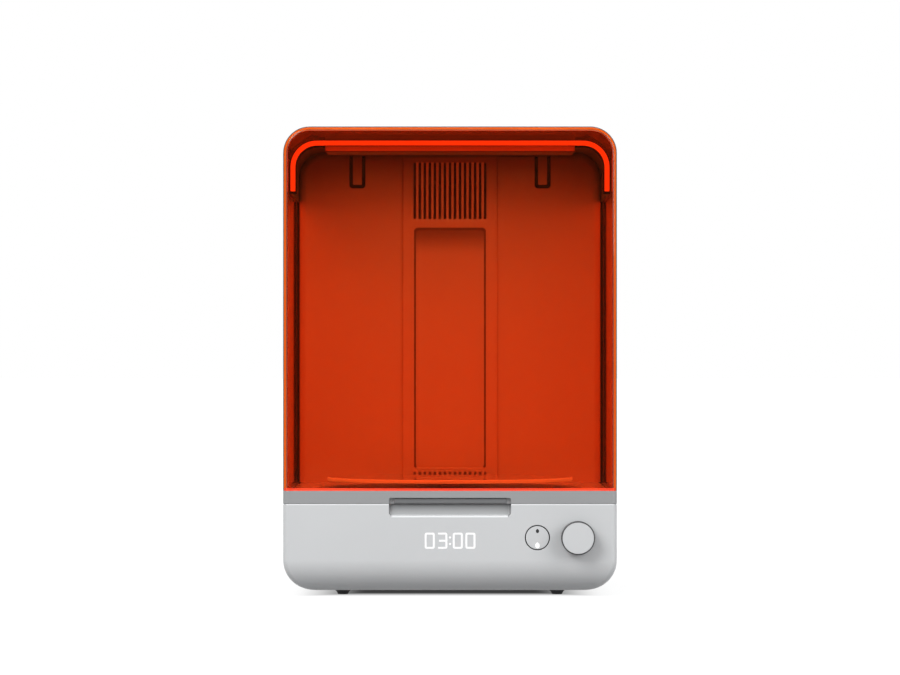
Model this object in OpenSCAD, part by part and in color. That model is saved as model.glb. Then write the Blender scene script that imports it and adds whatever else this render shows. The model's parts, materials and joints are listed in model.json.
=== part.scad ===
// Bench-top light curing unit: grey base, orange hinged hood, lamp canopy and a motor-driven turntable

/* [Body] */
// Width over the base, the hood and the rear housing
body_w = 276; // [264:2:320]
// Depth from the front face to the rear face
body_d = 296; // [290:2:340]
// Height of the base above its feet
base_h = 72; // [69:1:100]
// Wall of the moulded shells
wall = 3; // [2.6:0.2:3.6]
// Rounding along the bottom edges of the base
base_edge_r = 26; // [20:1:28]
// Rounding of the upright corners
corner_r = 4; // [3.5:0.5:7]
// General gap round parts that are set into an opening
slack = 0.3; // [0.2:0.05:0.5]
// Radial running clearance of a shaft in its bore
fit = 0.03; // [0.02:0.01:0.08]

/* [Feet and bottom plate] */
// Height of the feet
foot_h = 4.5; // [3:0.5:10]
// Width of a foot where it meets the plate
foot_top_d = 17; // [14:1:20]
// Width of a foot where it stands
foot_tip_d = 10; // [7:1:12]
// Stem that holds a foot in the plate
foot_stem_d = 6; // [4:0.5:8]
// Distance of the feet from the sides of the bottom plate
foot_side = 18.5; // [14:0.5:40]
// Distance of the feet from the front and back of the bottom plate
foot_end = 18; // [14:1:40]
// Thickness of the bottom plate
plate_t = 2; // [1.5:0.1:2.2]
// Ledge that the bottom plate is screwed to
plate_ledge = 6; // [5:0.5:8]

/* [Hood] */
// Height of the hood with its frame
hood_h = 312; // [290:2:360]
// Wall of the clear hood
hood_wall = 3; // [2.5:0.5:4]
// Front-view corner radius of the hood
hood_corner_r = 22; // [16:1:30]
// Rounding of the hood's front and rear edges
hood_edge_r = 4; // [3.6:0.2:5]
// Gap between the hood's frame and the base
hood_gap = 0.4; // [0.3:0.1:1]
// Height of the grey frame under the clear hood
band_h = 10.8; // [10:0.4:16]
// Thickness of the grey frame
band_t = 4.8; // [4.6:0.2:6]
// Thickness of the hood's tongue in the frame
tongue_t = 1.5; // [1.2:0.1:1.8]
// Height of the hood's tongue in the frame
tongue_h = 4; // [3:0.5:5]
// Width of the finger recess
grip_w = 100.8; // [80:1:120]
// Height of the finger recess in the frame
grip_h = 5; // [3:0.5:5.4]
// Depth of the finger recess in the frame
grip_in = 3; // [2:0.25:3.2]
// Radius of the finger scoop in the base
scoop_r = 14; // [12:1:16]
// Height of the finger scoop below the top of the base
scoop_drop = 9.5; // [7:0.5:10]
// Depth of the finger scoop at the top of the base
scoop_in = 4.4; // [3:0.2:4.6]
// Rounding of the finger scoop's lower corners
scoop_corner_r = 2.6; // [1:0.2:4]

/* [Hinge] */
// Hinge axis behind the hood's rear edge
hinge_back = 5.6; // [5.2:0.2:7]
// Hinge axis below the top of the hood
hinge_drop = 4; // [3.8:0.1:4.4]
// Distance of each hinge's middle from the side
hinge_side = 57; // [46:1:60]
// Length of each hinge
hinge_w = 44; // [32:1:46]
// Diameter of the hinge barrels
barrel_d = 7; // [6:0.2:7.4]
// Diameter of the hinge pins
hinge_pin_d = 3; // [2.5:0.1:4]
// Thickness of the hinge leaves
leaf_t = 1.5; // [1:0.1:1.8]
// Length of the hinge leaves
leaf_l = 30; // [20:1:36]

/* [Rear housing] */
// Depth of the rear housing
housing_l = 48; // [44:1:60]
// Gap between the hood and the rear housing
housing_gap = 1; // [0.8:0.1:2]
// Rounding of the rear housing's back edges
housing_r = 12; // [6:1:16]
// Depth of the bulkhead behind the housing's front edge
bulkhead_set = 2; // [1.5:0.5:3]
// Thickness of the bulkhead
bulkhead_t = 2; // [1.5:0.1:3]
// Thickness of flanges on the rear panel
flange_t = 2; // [1.5:0.5:3]

/* [Chamber] */
// Distance of the chamber's back wall in front of the hood's rear edge
liner_set = 8; // [6:0.5:10]
// Wall of the chamber liners
liner_t = 2; // [1.5:0.1:2.5]
// Height of the chamber floor above the base
floor_rise = 11.6; // [11:0.2:16]
// Gap between the chamber floor and the hood's frame
floor_gap = 1; // [0.8:0.1:2]
// Depth of the chamber floor's front edge
floor_front = 10; // [9:0.5:12]
// Width of a light window in the floor
window_w = 24; // [18:1:28]
// Length of a light window in the floor
window_l = 90; // [60:2:110]
// Distance of the light windows' middle from the side
window_side = 39.5; // [34:0.5:48]
// Depth of the middle of the light windows
window_y = 85; // [80:1:100]

/* [Air column] */
// Width of the column on the back wall
column_w = 84; // [82:1:96]
// Thickness of the column's front
column_t = 3; // [2.5:0.1:5]
// Number of grille slots
slot_n = 15; // [9:2:17]
// Width of a grille slot
slot_w = 2.1; // [1.5:0.1:2.8]
// Distance between grille slots
slot_pitch = 4.42; // [4:0.02:4.44]
// Length of the grille slots
slot_l = 49.3; // [30:0.1:52]
// Top of the grille below the top of the hood
slot_drop = 20; // [19:0.5:26]
// Width of the shallow recess
recess_w = 62.8; // [50:0.2:66]
// Height of the shallow recess
recess_h = 212; // [180:1:216]
// Depth of the shallow recess
recess_in = 1.6; // [0.8:0.1:2]
// Top of the recess below the top of the hood
recess_drop = 77.4; // [76:0.2:84]
// Distance of the snap tongues' middle from the side
snap_side = 56.6; // [40:0.1:70]
// Width of the slot round a snap tongue
snap_w = 14.2; // [12:0.1:20]
// Gap round a snap tongue
snap_gap = 2.8; // [1.5:0.1:3.5]
// Length of a snap tongue's slot
snap_l = 28.5; // [20:0.5:36]

/* [Canopy and lamp] */
// Depth of the canopy's front edge
canopy_front = 45; // [30:1:60]
// Top of the canopy below the top of the hood
canopy_drop = 9.2; // [9:0.1:14]
// Gap between the canopy and the hood's sides
canopy_gap = 0.8; // [0.6:0.1:1.4]
// Thickness of the canopy sheet
canopy_t = 1.5; // [1:0.1:2]
// Length of the canopy's side skirts
canopy_skirt = 45.2; // [36:0.2:70]
// Corner radius of the canopy
canopy_r = 23; // [22:1:32]
// Thickness of the light arch
arch_t = 4; // [2.5:0.1:5]
// Length of the light arch from front to back
arch_l = 6; // [4:0.5:12]
// Distance of the lamp's ends from the side
lamp_side = 33.5; // [30:0.5:50]
// Length of the lamp from front to back
lamp_l = 50; // [40:1:70]
// Height of the lamp above the canopy
lamp_up = 5; // [4:0.1:6]
// Height of the lamp's diffuser below the canopy
lamp_down = 8.6; // [6:0.1:14]
// Number of light-emitting diodes in each row of the lamp
led_n = 12; // [6:1:16]

/* [Turntable] */
// Space between the turntable and the hood's frame, and the column on the back wall
table_clear = 11.1; // [8:0.1:20]
// Thickness of the turntable
table_t = 3; // [3:0.25:5]
// Height that the turntable lifts off
table_lift = 25; // [10:1:60]
// Diameter of the turntable's hub
hub_d = 60; // [50:1:80]
// Thickness of the hub's flange
hub_t = 3; // [2:0.25:5]
// Gap between the chamber floor and the hub
hub_gap = 2; // [1:0.1:4]
// Diameter of the hub's neck
neck_d = 16; // [14:0.5:18]
// Diameter of the spindle
spindle_d = 8; // [6:0.5:8]
// Diameter of the two drive pins
drive_pin_d = 4; // [3:0.25:6]

/* [Turntable drive] */
// Gear module
gear_m = 1; // [1:0.05:1.1]
// Teeth of the spindle gear
gear_teeth = 60; // [52:4:60]
// Teeth of the motor pinion
pinion_teeth = 20; // [18:1:24]
// Width of the gear teeth
gear_w = 6; // [4:0.5:6.5]
// Play between the teeth
backlash = 0.16; // [0.1:0.02:0.3]
// Thickness of the drive plate
drive_plate_t = 3; // [2:0.25:3.5]
// Space between the drive plate and the deck
drive_drop = 10; // [9.5:0.25:11]
// Outer diameter of the bearings
bearing_od = 22; // [20:0.5:24]
// Width of the bearings
bearing_w = 7; // [6:0.25:7.5]
// Height of the bearing housing
bearing_h = 22.5; // [20:0.5:26]
// Diameter of the motor's gearbox
gearbox_d = 37; // [30:0.5:38]
// Height of the motor's gearbox
gearbox_h = 24; // [18:0.5:24]
// Diameter of the motor
motor_d = 30; // [24:0.5:34]
// Height of the motor
motor_h = 24; // [18:0.5:24]
// Diameter of the motor shaft
motor_shaft_d = 6; // [5:0.25:8]

/* [Controls] */
// Height of the dial and the button above the underside of the base
control_h = 44.5; // [42:0.5:46]
// Distance of the dial's middle from the side
dial_side = 32.4; // [30:0.2:36]
// Diameter of the dial
dial_d = 28; // [24:0.5:32]
// Distance that the dial stands out of the front
knob_out = 12; // [10:0.5:18]
// Push travel of the dial
dial_travel = 0.7; // [0.4:0.1:0.8]
// Diameter of the dial's shaft
dial_shaft_d = 6; // [5:0.1:7]
// Distance of the button's middle from the side
button_side = 65.8; // [62:0.2:70]
// Diameter of the button
button_d = 20; // [17:0.5:22]
// Push travel of the button
button_travel = 1; // [0.4:0.1:1.2]
// Height of the digits' middle above the underside of the base
digit_mid = 42; // [40:0.5:44]
// Height of a digit
digit_h = 13.4; // [10:0.2:15]
// Width of a digit
digit_w = 8.6; // [6:0.2:8.6]
// Stroke of a digit
digit_t = 1.8; // [1.2:0.1:2.2]
// Skin of the front wall over the display
skin = 0.8; // [0.5:0.1:1.2]
// Distance of the control board behind the front face
board_y = 14.5; // [14:0.5:18]
// Thickness of circuit boards
board_t = 1.6; // [1:0.2:2]

/* [Rear panel] */
// Height of the rear fittings above the underside of the base
panel_h = 46; // [45:0.5:47]
// Distance of the power inlet's middle from the side
inlet_side = 58; // [54:1:64]
// Distance from the power inlet's middle to the power switch's
rocker_step = 44; // [40:1:52]
// Width of the rocker
rocker_w = 12; // [10:0.25:14]
// Height of the rocker
rocker_h = 18.4; // [16:0.2:20]
// Tilt of the rocker to each side
rocker_tilt = 8; // [4:0.5:9]
// Distance of the cooling fan's middle from the side
fan_side = 63; // [48:1:66]
// Size of the cooling fan
fan_size = 40; // [36:0.5:41]
// Length of the cooling fan
fan_l = 20; // [15:0.5:25]
// Number of slots in the cooling fan's vent
vent_n = 9; // [5:1:9]

/* [Warm air] */
// Size of the circulation fan
blower_size = 70; // [60:0.5:72]
// Length of the circulation fan
blower_l = 25; // [20:0.5:26]
// Wall of the air duct
duct_t = 1.2; // [1:0.1:1.6]
// Gap behind the air duct
duct_gap = 4; // [3:0.5:8]
// Height of the heater
heater_h = 50; // [30:1:60]

/* [Hidden] */

$fn = 64;
eps = 0.01;
half = body_w / 2;
hood_d = body_d - housing_l - housing_gap;
liner_y = hood_d - liner_set;
table_y = (liner_y - column_t + band_t) / 2;
table_d = liner_y - column_t - band_t - 2 * table_clear;
hinge_x = half - hinge_side;
window_x = half - window_side;
snap_x = half - snap_side;
dial_x = half - dial_side;
button_x = half - button_side;
inlet_x = inlet_side - half;
rocker_x = inlet_x + rocker_step;
fan_x = half - fan_side;

// Depths are counted back from the front face, heights up from the ground
front_y = (knob_out - body_d - flange_t) / 2;
base_top = foot_h + base_h;
deck_z = base_top - wall;
hood_z = base_top + hood_gap;
hood_top = hood_z + hood_h;
band_top = hood_z + band_h;
floor_top = base_top + floor_rise;
housing_y = hood_d + housing_gap;
bulkhead_y = housing_y + bulkhead_set;
bulkhead_back = bulkhead_y + bulkhead_t;
rear_inside = body_d - wall;
duct_l = rear_inside - duct_gap - bulkhead_back;
control_z = foot_h + control_h;
digit_z = foot_h + digit_mid;
panel_z = foot_h + panel_h;

// Fasteners
screw_d = 3;
screw_head_d = 5.6;
screw_head_h = 2;
boss_d = 8;

// Bottom plate, set into the flat of the underside
plate_margin = 4;
plate_half = half - base_edge_r - plate_margin;
plate_y0 = base_edge_r + plate_margin;
plate_y1 = body_d - plate_y0;
plate_screw_in = 3.5;
plate_slot_n = 9;
plate_slot_y = 30;
plate_slot_pitch = 6;
plate_slot_w = 2.5;
plate_slot_l = 60;
plate_boss_h = 8;
plate_screw_row = plate_half - plate_screw_in;
plate_screws_at = [for (sx = [-1, 1], y = [plate_y0 + 15, body_d / 2, plate_y1 - 15])
    [sx * plate_screw_row, y],
    [0, plate_y0 + plate_screw_in], [0, plate_y1 - plate_screw_in]];
feet_at = [for (sx = [-1, 1], y = [plate_y0 + foot_end, plate_y1 - foot_end])
    [sx * (plate_half - foot_side), y]];

// Hinge axis
hinge_y = hood_d + hinge_back;
hinge_z = hood_top - hinge_drop;
knuckle_gap = 0.4;
hood_knuckle = hinge_w * 0.45;
notch_half = hinge_w / 2 + 0.5;

// Canopy and the parts that fit in it
canopy_top = hood_top - canopy_drop;
canopy_half = half - hood_wall - canopy_gap;
canopy_z = canopy_top - canopy_skirt;
lamp_y = canopy_front + arch_l;
lamp_board_in = 4;
lamp_w = body_w - 2 * lamp_side;
liner_half = canopy_half - canopy_t - slack;
liner_top = canopy_top - canopy_t - slack;
liner_r = canopy_r - canopy_t - slack;
floor_half = half - band_t - floor_gap;
floor_back = bulkhead_y - slack;

// Air column and duct on one centre line
column_top = canopy_top - canopy_t - 3.2;
slot_top = hood_top - slot_drop;
slot_z = slot_top - slot_l;
column_skirt = column_w / 2 - 3.5;
column_wall = 1.5;
column_z = floor_top + slack;
skirt_z = column_z + 2.3;
skirt_top = column_top - 3.3;
blower_z = skirt_top - column_wall - blower_size / 2 + 2;
duct_half = column_skirt - 0.5;
duct_z = floor_top + 1;
duct_top = blower_z + blower_size / 2 + slack + duct_t;
outlet_h = 5;

// Turntable stack, from the deck up
hub_z = floor_top + hub_gap;
table_z = hub_z + hub_t;
hub_boss_d = 24;
hub_boss_h = 1.6;
drive_pin_r = 22;
hub_room = 0.3;
neck_hole_d = neck_d + 4;

// Turntable drive, from the deck down
drive_top = deck_z - drive_drop;
drive_z = drive_top - drive_plate_t;
gear_z = drive_top + 1.5;
gear_hub_top = deck_z - 1;
gear_r = gear_m * gear_teeth / 2;
pinion_r = gear_m * pinion_teeth / 2;
motor_x = gear_r + pinion_r;
upper_bearing_z = drive_z - bearing_w;
bearing_z = drive_z - bearing_h;
bearing_lip = 1.5;
lower_bearing_z = bearing_z + bearing_lip;
bearing_wall = 3;
bearing_flange = 8;
bearing_screw_r = bearing_od / 2 + bearing_wall + bearing_flange / 2;
drive_x0 = -gear_r - 8;
drive_x1 = motor_x + gearbox_d / 2 + 8;
drive_half = gear_r + 8;
drive_bosses = [for (x = [drive_x0 + 5, drive_x1 - 5], sy = [-1, 1]) [x,
    table_y + sy * (drive_half - 5)]];
motor_screws_at = [for (a = [60, 120, 240, 300])
    [motor_x + (gearbox_d / 2 - 3) * cos(a), table_y + (gearbox_d / 2 - 3) * sin(a)]];
motor_screw_l = 6;

// Control board behind the front wall
board_x0 = -40;
board_x1 = dial_x + 20;
board_z0 = foot_h + 28;
board_z1 = foot_h + 56;
board_screws_at = [for (x = [board_x0 + 5, board_x1 - 5], z = [board_z0 + 4, board_z1 - 4]) [x, z]];
dial_gap = 1.2;
encoder_y = 8;
button_flange = 1.2;
button_proud = 0.3;
switch_y = board_y - 4.5;
display_half = 24.5;
display_up = 9.5;
display_l = 7;

// Digits read 03:00, as the right edge of each digit and its lit bars
digit_bars = [[0, [0, 1, 2, 3, 4, 5]], [1, [0, 1, 2, 3, 6]], [2, [0, 1, 2, 3, 4, 5]], [3, [0, 1, 2, 3, 4,
    5]]];
digit_right = [-12.56, -2.15, 10.66, 21.06];
bar_gap = 0.25;

// Rear panel
inlet_w = 47;
inlet_h = 26.6;
inlet_l = 27;
inlet_rim = 2;
socket_w = 24.6;
socket_h = 16.6;
socket_l = 18;
blade_l = 13;
rocker_y = body_d - 5;
rocker_rim = 2.5;
rocker_room = 1.1;
rocker_pin_d = 2;
vent_slot = 2;
vent_pitch = 4;

// Circuit boards in the rear housing and power supply in the base
psu_w = 112;
psu_cap_d = 18;
psu_l = 72;
psu_x0 = 40 - half;
psu_x1 = psu_x0 + psu_w;
psu_y1 = body_d - 38;
psu_y0 = psu_y1 - psu_l;
psu_z = foot_h + plate_t + 5.5;
driver_w = 60;
driver_h = 100;
driver_x1 = half - 23;
driver_x0 = driver_x1 - driver_w;
driver_z0 = base_top + 74;
driver_z1 = driver_z0 + driver_h;
driver_y = bulkhead_back + 8;
wire_d = 4;
wire_x = duct_half + 11;

// Helpers: everything below is drawn from the front face and moved once
module placed() { translate([0, front_y, 0]) children(); }
module along_x(x0, x1) { translate([x0, 0, 0]) rotate([90, 0, 90]) linear_extrude(x1 - x0) children(); }
module along_y(y0, y1) { translate([0, y1, 0]) rotate([90, 0, 0]) linear_extrude(y1 - y0) children(); }
module along_z(z0, z1) { translate([0, 0, z0]) linear_extrude(z1 - z0) children(); }
module pipe_y(d, y0, y1) { translate([0, y1, 0]) rotate([90, 0, 0]) cylinder(d = d, h = y1 - y0); }
module pipe_x(d, x0, x1) { translate([x0, 0, 0]) rotate([0, 90, 0]) cylinder(d = d, h = x1 - x0); }
module block(x0, x1, y0, y1, z0, z1) { translate([x0, y0, z0]) cube([x1 - x0, y1 - y0, z1 - z0]); }

// What a corner of a rectangle loses when it is rounded
module bite(r) {
    difference() {
        translate([-1, -1]) square(r + 1);
        translate([r, r]) circle(r);
    }
}

// Rectangle with its own radius at each corner: bottom left, bottom right, top right, top left
module rounded(x0, y0, x1, y1, r) {
    difference() {
        translate([x0, y0]) square([x1 - x0, y1 - y0]);
        if (r[0] > 0) translate([x0, y0]) bite(r[0]);
        if (r[1] > 0) translate([x1, y0]) mirror([1, 0]) bite(r[1]);
        if (r[2] > 0) translate([x1, y1]) rotate(180) bite(r[2]);
        if (r[3] > 0) translate([x0, y1]) mirror([0, 1]) bite(r[3]);
    }
}

// Solid whose front view, side view and plan are all rounded
module base_block(inset, z1) {
    r = base_edge_r - inset;
    c = max(corner_r - inset, 0.5);
    intersection() {
        along_y(inset, body_d - inset) rounded(-half + inset, foot_h + inset, half - inset, z1, [r, r, 0,
            0]);
        along_x(-half + inset, half - inset) rounded(inset, foot_h + inset, body_d - inset, z1, [r, r, 0,
            0]);
        along_z(foot_h + inset, z1) rounded(-half + inset, inset, half - inset, body_d - inset, [c, c, c,
            c]);
    }
}

module hood_block(inset, z0, y1) {
    r = hood_corner_r - inset;
    e = max(hood_edge_r - inset, 0.8);
    c = max(corner_r - inset, 0.8);
    back_r = y1 > hood_d ? 0 : hood_edge_r;
    intersection() {
        along_y(inset, y1) rounded(-half + inset, z0, half - inset, hood_top - inset, [0, 0, r, r]);
        along_x(-half + inset, half - inset) rounded(inset, z0, y1, hood_top - inset, [0, 0, back_r, e]);
        along_z(z0, hood_top - inset) rounded(-half + inset, inset, half - inset, y1, [c, c, 0, 0]);
    }
}

module hood_plan(inset, y1) {
    c = max(corner_r - inset, 0.8);
    rounded(-half + inset, inset, half - inset, y1, [c, c, 0, 0]);
}

module housing_block(inset, z0, y0, edge) {
    r = hood_corner_r - inset;
    h = housing_r - inset;
    intersection() {
        along_y(y0, body_d - inset) rounded(-half + inset, z0, half - inset, hood_top - inset, [0, 0, r,
            r]);
        along_x(-half + inset, half - inset)
            rounded(y0, z0, body_d - inset, hood_top - inset, [0, 0, h, edge]);
        along_z(z0, hood_top - inset) rounded(-half + inset, y0, half - inset, body_d - inset, [0, 0, h,
            h]);
    }
}

module arch(h, z0, z1, r) { rounded(-h, z0, h, z1, [0, 0, r, r]); }

// Screw with its head at the origin and its shank pointing up
module screw(l) {
    translate([0, 0, -screw_head_h]) cylinder(d = screw_head_d, h = screw_head_h);
    translate([0, 0, -eps]) cylinder(d = screw_d - 0.1, h = l + eps);
}

// Flat-head screw with the face of its head at the origin and its shank pointing up
flat_head_h = (screw_head_d - screw_d) / 2;
module flat_screw(l) {
    cylinder(d1 = screw_head_d, d2 = screw_d - 0.1, h = flat_head_h);
    cylinder(d = screw_d - 0.1, h = l);
}

// Involute tooth outline of a spur gear, with half of the play taken off each flank
function roll(rb, r) = sqrt(max(r * r / (rb * rb) - 1, 0));
function unwind(t) = t * 180 / PI - atan(t);
module spur_gear(teeth, bore) {
    r = gear_m * teeth / 2;
    rb = r * cos(20);
    tip = r + gear_m * 0.95;
    root = r - gear_m * 1.2;
    start = max(rb, root + 0.05);
    half_tooth = 90 / teeth - backlash / 2 / r * 180 / PI + unwind(roll(rb, r));
    steps = 5;
    flank = [for (i = [0:steps]) let (q = start + (tip - start) * i / steps)
        [q, half_tooth - unwind(roll(rb, q))]];
    difference() {
        linear_extrude(gear_w) union() {
            circle(root);
            for (k = [0:teeth - 1]) rotate(k * 360 / teeth)
                polygon(concat([[0, 0], [root * cos(flank[0][1]), -root * sin(flank[0][1])]],
                    [for (p = flank) [p[0] * cos(p[1]), -p[0] * sin(p[1])]],
                    [for (i = [steps:-1:0]) [flank[i][0] * cos(flank[i][1]),
                        flank[i][0] * sin(flank[i][1])]],
                    [[root * cos(flank[0][1]), root * sin(flank[0][1])]]));
        }
        translate([0, 0, -1]) cylinder(d = bore, h = gear_w + 2);
    }
}

// Fan frame that faces along Y, with its motor carried on four arms at the back
module fan_frame(size, l, hub_d, shaft_d) {
    difference() {
        along_y(0, l) rounded(-size / 2, -size / 2, size / 2, size / 2, [3, 3, 3, 3]);
        pipe_y(size - 3, -1, l + 1);
        for (sx = [-1, 1], sz = [-1, 1])
            translate([sx * (size / 2 - 4), 0, sz * (size / 2 - 4)]) pipe_y(3.4, -1, l + 1);
    }
    difference() {
        union() {
            pipe_y(hub_d, l - 3, l);
            for (a = [45:90:315]) rotate([0, a, 0]) block(hub_d / 2 - 1, size / 2 - 1, l - 3, l, -1.2,
                1.2);
        }
        pipe_y(shaft_d + 2 * fit, l - 4, l - 1);
    }
}

module fan_rotor(size, l, hub_d, shaft_d, blades) {
    reach = size / 2 - 2.6 - hub_d / 2;
    pipe_y(hub_d, 1.5, l - 3.6);
    pipe_y(shaft_d, l - 4, l - 1.2);
    for (k = [0:blades - 1]) rotate([0, k * 360 / blades, 0]) translate([hub_d / 2 - 1, l / 2 - 1, 0])
        rotate([38, 0, 0]) translate([0, -(l - 9) / 2, -0.6]) cube([reach + 1, l - 9, 1.2]);
}

// Base
scoop_chord = norm([scoop_in, scoop_drop]);
scoop_sag = sqrt(scoop_r * scoop_r - scoop_chord * scoop_chord / 4);
scoop_y = scoop_in / 2 - scoop_sag * scoop_drop / scoop_chord;
scoop_z = base_top - scoop_drop / 2 + scoop_sag * scoop_in / scoop_chord;

module scoop(r, side) {
    x = grip_w / 2 + side;
    c = scoop_corner_r + side;
    intersection() {
        translate([0, scoop_y, scoop_z]) pipe_x(2 * r, -x, x);
        along_y(scoop_y - r - 1, scoop_y + r + 1)
            rounded(-x, base_top - scoop_drop - side, x, scoop_z + r + 1, [c, c, 0, 0]);
    }
}

module base_shell() {
    color([0.82, 0.825, 0.83]) placed() difference() {
        union() {
            difference() {
                base_block(0, base_top);
                base_block(wall, deck_z);
            }
            intersection() {
                base_block(wall / 2, base_top - wall / 2);
                scoop(scoop_r + wall, wall);
            }
            for (p = plate_screws_at)
                translate([p[0], p[1], foot_h + plate_t]) cylinder(d = boss_d, h = plate_boss_h);
            for (p = drive_bosses)
                translate([p[0], p[1], drive_top]) cylinder(d = boss_d, h = drive_drop + wall / 2);
            for (p = board_screws_at)
                translate([p[0], 0, p[1]]) pipe_y(6, wall / 2, board_y);
        }
        scoop(scoop_r, 0);
        block(-plate_half - slack, plate_half + slack, plate_y0 - slack, plate_y1 + slack,
            foot_h - 1, foot_h + plate_t);
        difference() {
            block(-plate_half + plate_ledge, plate_half - plate_ledge,
                plate_y0 + plate_ledge, plate_y1 - plate_ledge, foot_h, foot_h + wall + 1);
            for (p = plate_screws_at)
                translate([p[0], p[1], foot_h + plate_t]) cylinder(d = boss_d, h = plate_boss_h);
        }
        for (p = plate_screws_at)
            translate([p[0], p[1], foot_h]) cylinder(d = screw_d, h = plate_boss_h + 1);
        for (p = drive_bosses)
            translate([p[0], p[1], drive_top - 1]) cylinder(d = screw_d, h = drive_drop);
        for (p = board_screws_at)
            translate([p[0], 0, p[1]]) pipe_y(screw_d, board_y - 8, board_y + 1);
        for (p = floor_screws_at)
            translate([p[0], p[1], deck_z - 1]) cylinder(d = screw_d + 0.4, h = wall + 2);
        for (p = housing_screws_at)
            translate([p[0], p[1], deck_z - 1]) cylinder(d = screw_d + 0.4, h = wall + 2);
        for (p = bumpers_at)
            translate([p[0], p[1], base_top - bumper_in]) cylinder(d = bumper_d, h = bumper_in + 1);
        translate([0, table_y, deck_z - 1]) cylinder(d = neck_hole_d, h = wall + 2);
        translate([wire_x, wire_y, deck_z - 1]) cylinder(d = wire_d + 6, h = wall + 2);
        for (sx = [-1, 1]) translate([sx * window_x, window_y + window_l / 2 + 12, deck_z - 1])
            cylinder(d = 8, h = wall + 2);
        translate([dial_x, 0, control_z]) pipe_y(dial_shaft_d + 2, -1, wall + 1);
        translate([button_x, 0, control_z]) pipe_y(button_d + 2 * slack, -1, wall + 1);
        block(-display_half - slack, display_half + slack, skin, wall + 1,
            digit_z - display_up - slack, digit_z + display_up + slack);
        digits(-1, wall, 0.05);
        translate([inlet_x, 0, panel_z]) block(-inlet_w / 2 - slack, inlet_w / 2 + slack,
            rear_inside - 1, body_d + 1, -inlet_h / 2 - slack, inlet_h / 2 + slack);
        translate([rocker_x, 0, panel_z]) block(-rocker_box_x - slack, rocker_box_x + slack,
            rear_inside - 1, body_d + 1, -rocker_box_z - slack, rocker_box_z + slack);
        for (i = [0:vent_n - 1]) translate([fan_x + (i - (vent_n - 1) / 2) * vent_pitch, 0, panel_z])
            along_y(rear_inside - 1, body_d + 1)
                rounded(-vent_slot / 2, -15, vent_slot / 2, 15, [0.9, 0.9, 0.9, 0.9]);
    }
}

module bottom_plate() {
    color([0.62, 0.63, 0.65]) placed() difference() {
        block(-plate_half, plate_half, plate_y0, plate_y1, foot_h, foot_h + plate_t);
        for (p = plate_screws_at) translate([p[0], p[1], foot_h]) {
            translate([0, 0, -1]) cylinder(d = screw_d + 0.4, h = plate_t + 2);
            translate([0, 0, -eps])
                cylinder(d1 = screw_head_d + 0.4, d2 = screw_d + 0.4, h = flat_head_h + eps);
        }
        for (p = feet_at) translate([p[0], p[1], foot_h - 1]) cylinder(d = foot_stem_d, h = plate_t + 2);
        for (i = [0:plate_slot_n - 1]) translate([0, plate_y0 + plate_slot_y + i * plate_slot_pitch, 0])
            along_z(foot_h - 1, foot_h + plate_t + 1) rounded(-plate_slot_l / 2, -plate_slot_w / 2,
                plate_slot_l / 2,
                plate_slot_w / 2, [1.2, 1.2, 1.2, 1.2]);
    }
}

module rubber_feet() {
    color([0.16, 0.16, 0.17]) placed() for (p = feet_at) translate([p[0], p[1], 0]) rotate_extrude()
        polygon([[0, 0], [foot_tip_d / 2 - 0.6, 0], [foot_tip_d / 2, 0.6], [foot_top_d / 2 - 1.5,
            foot_h - 0.9],
            [foot_top_d / 2, foot_h - 0.4], [foot_top_d / 2, foot_h], [foot_stem_d / 2 - 0.1, foot_h],
            [foot_stem_d / 2 - 0.1, foot_h + plate_t + 0.1], [foot_stem_d / 2 + 1,
                foot_h + plate_t + 0.1],
            [foot_stem_d / 2 - 0.6, foot_h + plate_t + 2.6], [0, foot_h + plate_t + 2.6]]);
}

module plate_screws() {
    color("silver") placed() for (p = plate_screws_at) translate([p[0], p[1], foot_h])
        flat_screw(plate_t + 6);
}

// Dial, its shaft and its encoder
module d_bar(d, play, y0, y1) {
    intersection() {
        pipe_y(d + 2 * play, y0, y1);
        block(-d, d, y0, y1, -d, d / 4 + play);
    }
}

module dial_knob() {
    color([0.83, 0.835, 0.84]) placed() translate([dial_x, 0, control_z]) difference() {
        union() {
            rotate([90, 0, 0]) rotate_extrude() difference() {
                translate([0, dial_gap]) square([dial_d / 2, knob_out - dial_gap]);
                translate([-1, dial_gap - 1]) square([dial_d / 2 - 1, knob_out - dial_gap - 1.5]);
                translate([dial_d / 2, knob_out]) rotate(180) bite(1.2);
            }
            pipe_y(dial_shaft_d + 5, -knob_out + 2, -dial_gap);
        }
        d_bar(dial_shaft_d, fit, -knob_out + 1.3, 0);
    }
}

module dial_shaft() {
    color("silver") placed() translate([dial_x, 0, control_z]) {
        d_bar(dial_shaft_d, 0, -knob_out + 1.3 + dial_travel + 0.3, wall / 2);
        pipe_y(dial_shaft_d, wall / 2 - eps, encoder_y + 2);
    }
}

module dial_encoder() {
    color([0.25, 0.27, 0.26]) placed() translate([dial_x, 0, control_z]) difference() {
        union() {
            block(-6.5, 6.5, encoder_y, board_y, -6.5, 6.5);
            pipe_y(dial_shaft_d + 3, wall + 0.5, encoder_y + eps);
        }
        pipe_y(dial_shaft_d + 2 * fit, wall, encoder_y + 3);
    }
}

// Button over its switch
button_flange_y = wall + slack;

module start_button() {
    color([0.83, 0.835, 0.84]) placed() translate([button_x, 0, control_z]) difference() {
        union() {
            pipe_y(button_d - 0.2, -button_proud, button_flange_y + button_flange);
            pipe_y(button_d + 2.4, button_flange_y, button_flange_y + button_flange);
            pipe_y(5, button_flange_y, switch_y - 2.4);
        }
        translate([0, 0, -button_light]) pipe_y(light_d, -1, button_flange_y + button_flange + 1);
    }
}

module switch_plunger() {
    color([0.12, 0.12, 0.12]) placed() translate([button_x, 0, control_z])
        pipe_y(6, switch_y - 2.4, switch_y + 1);
}

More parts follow.
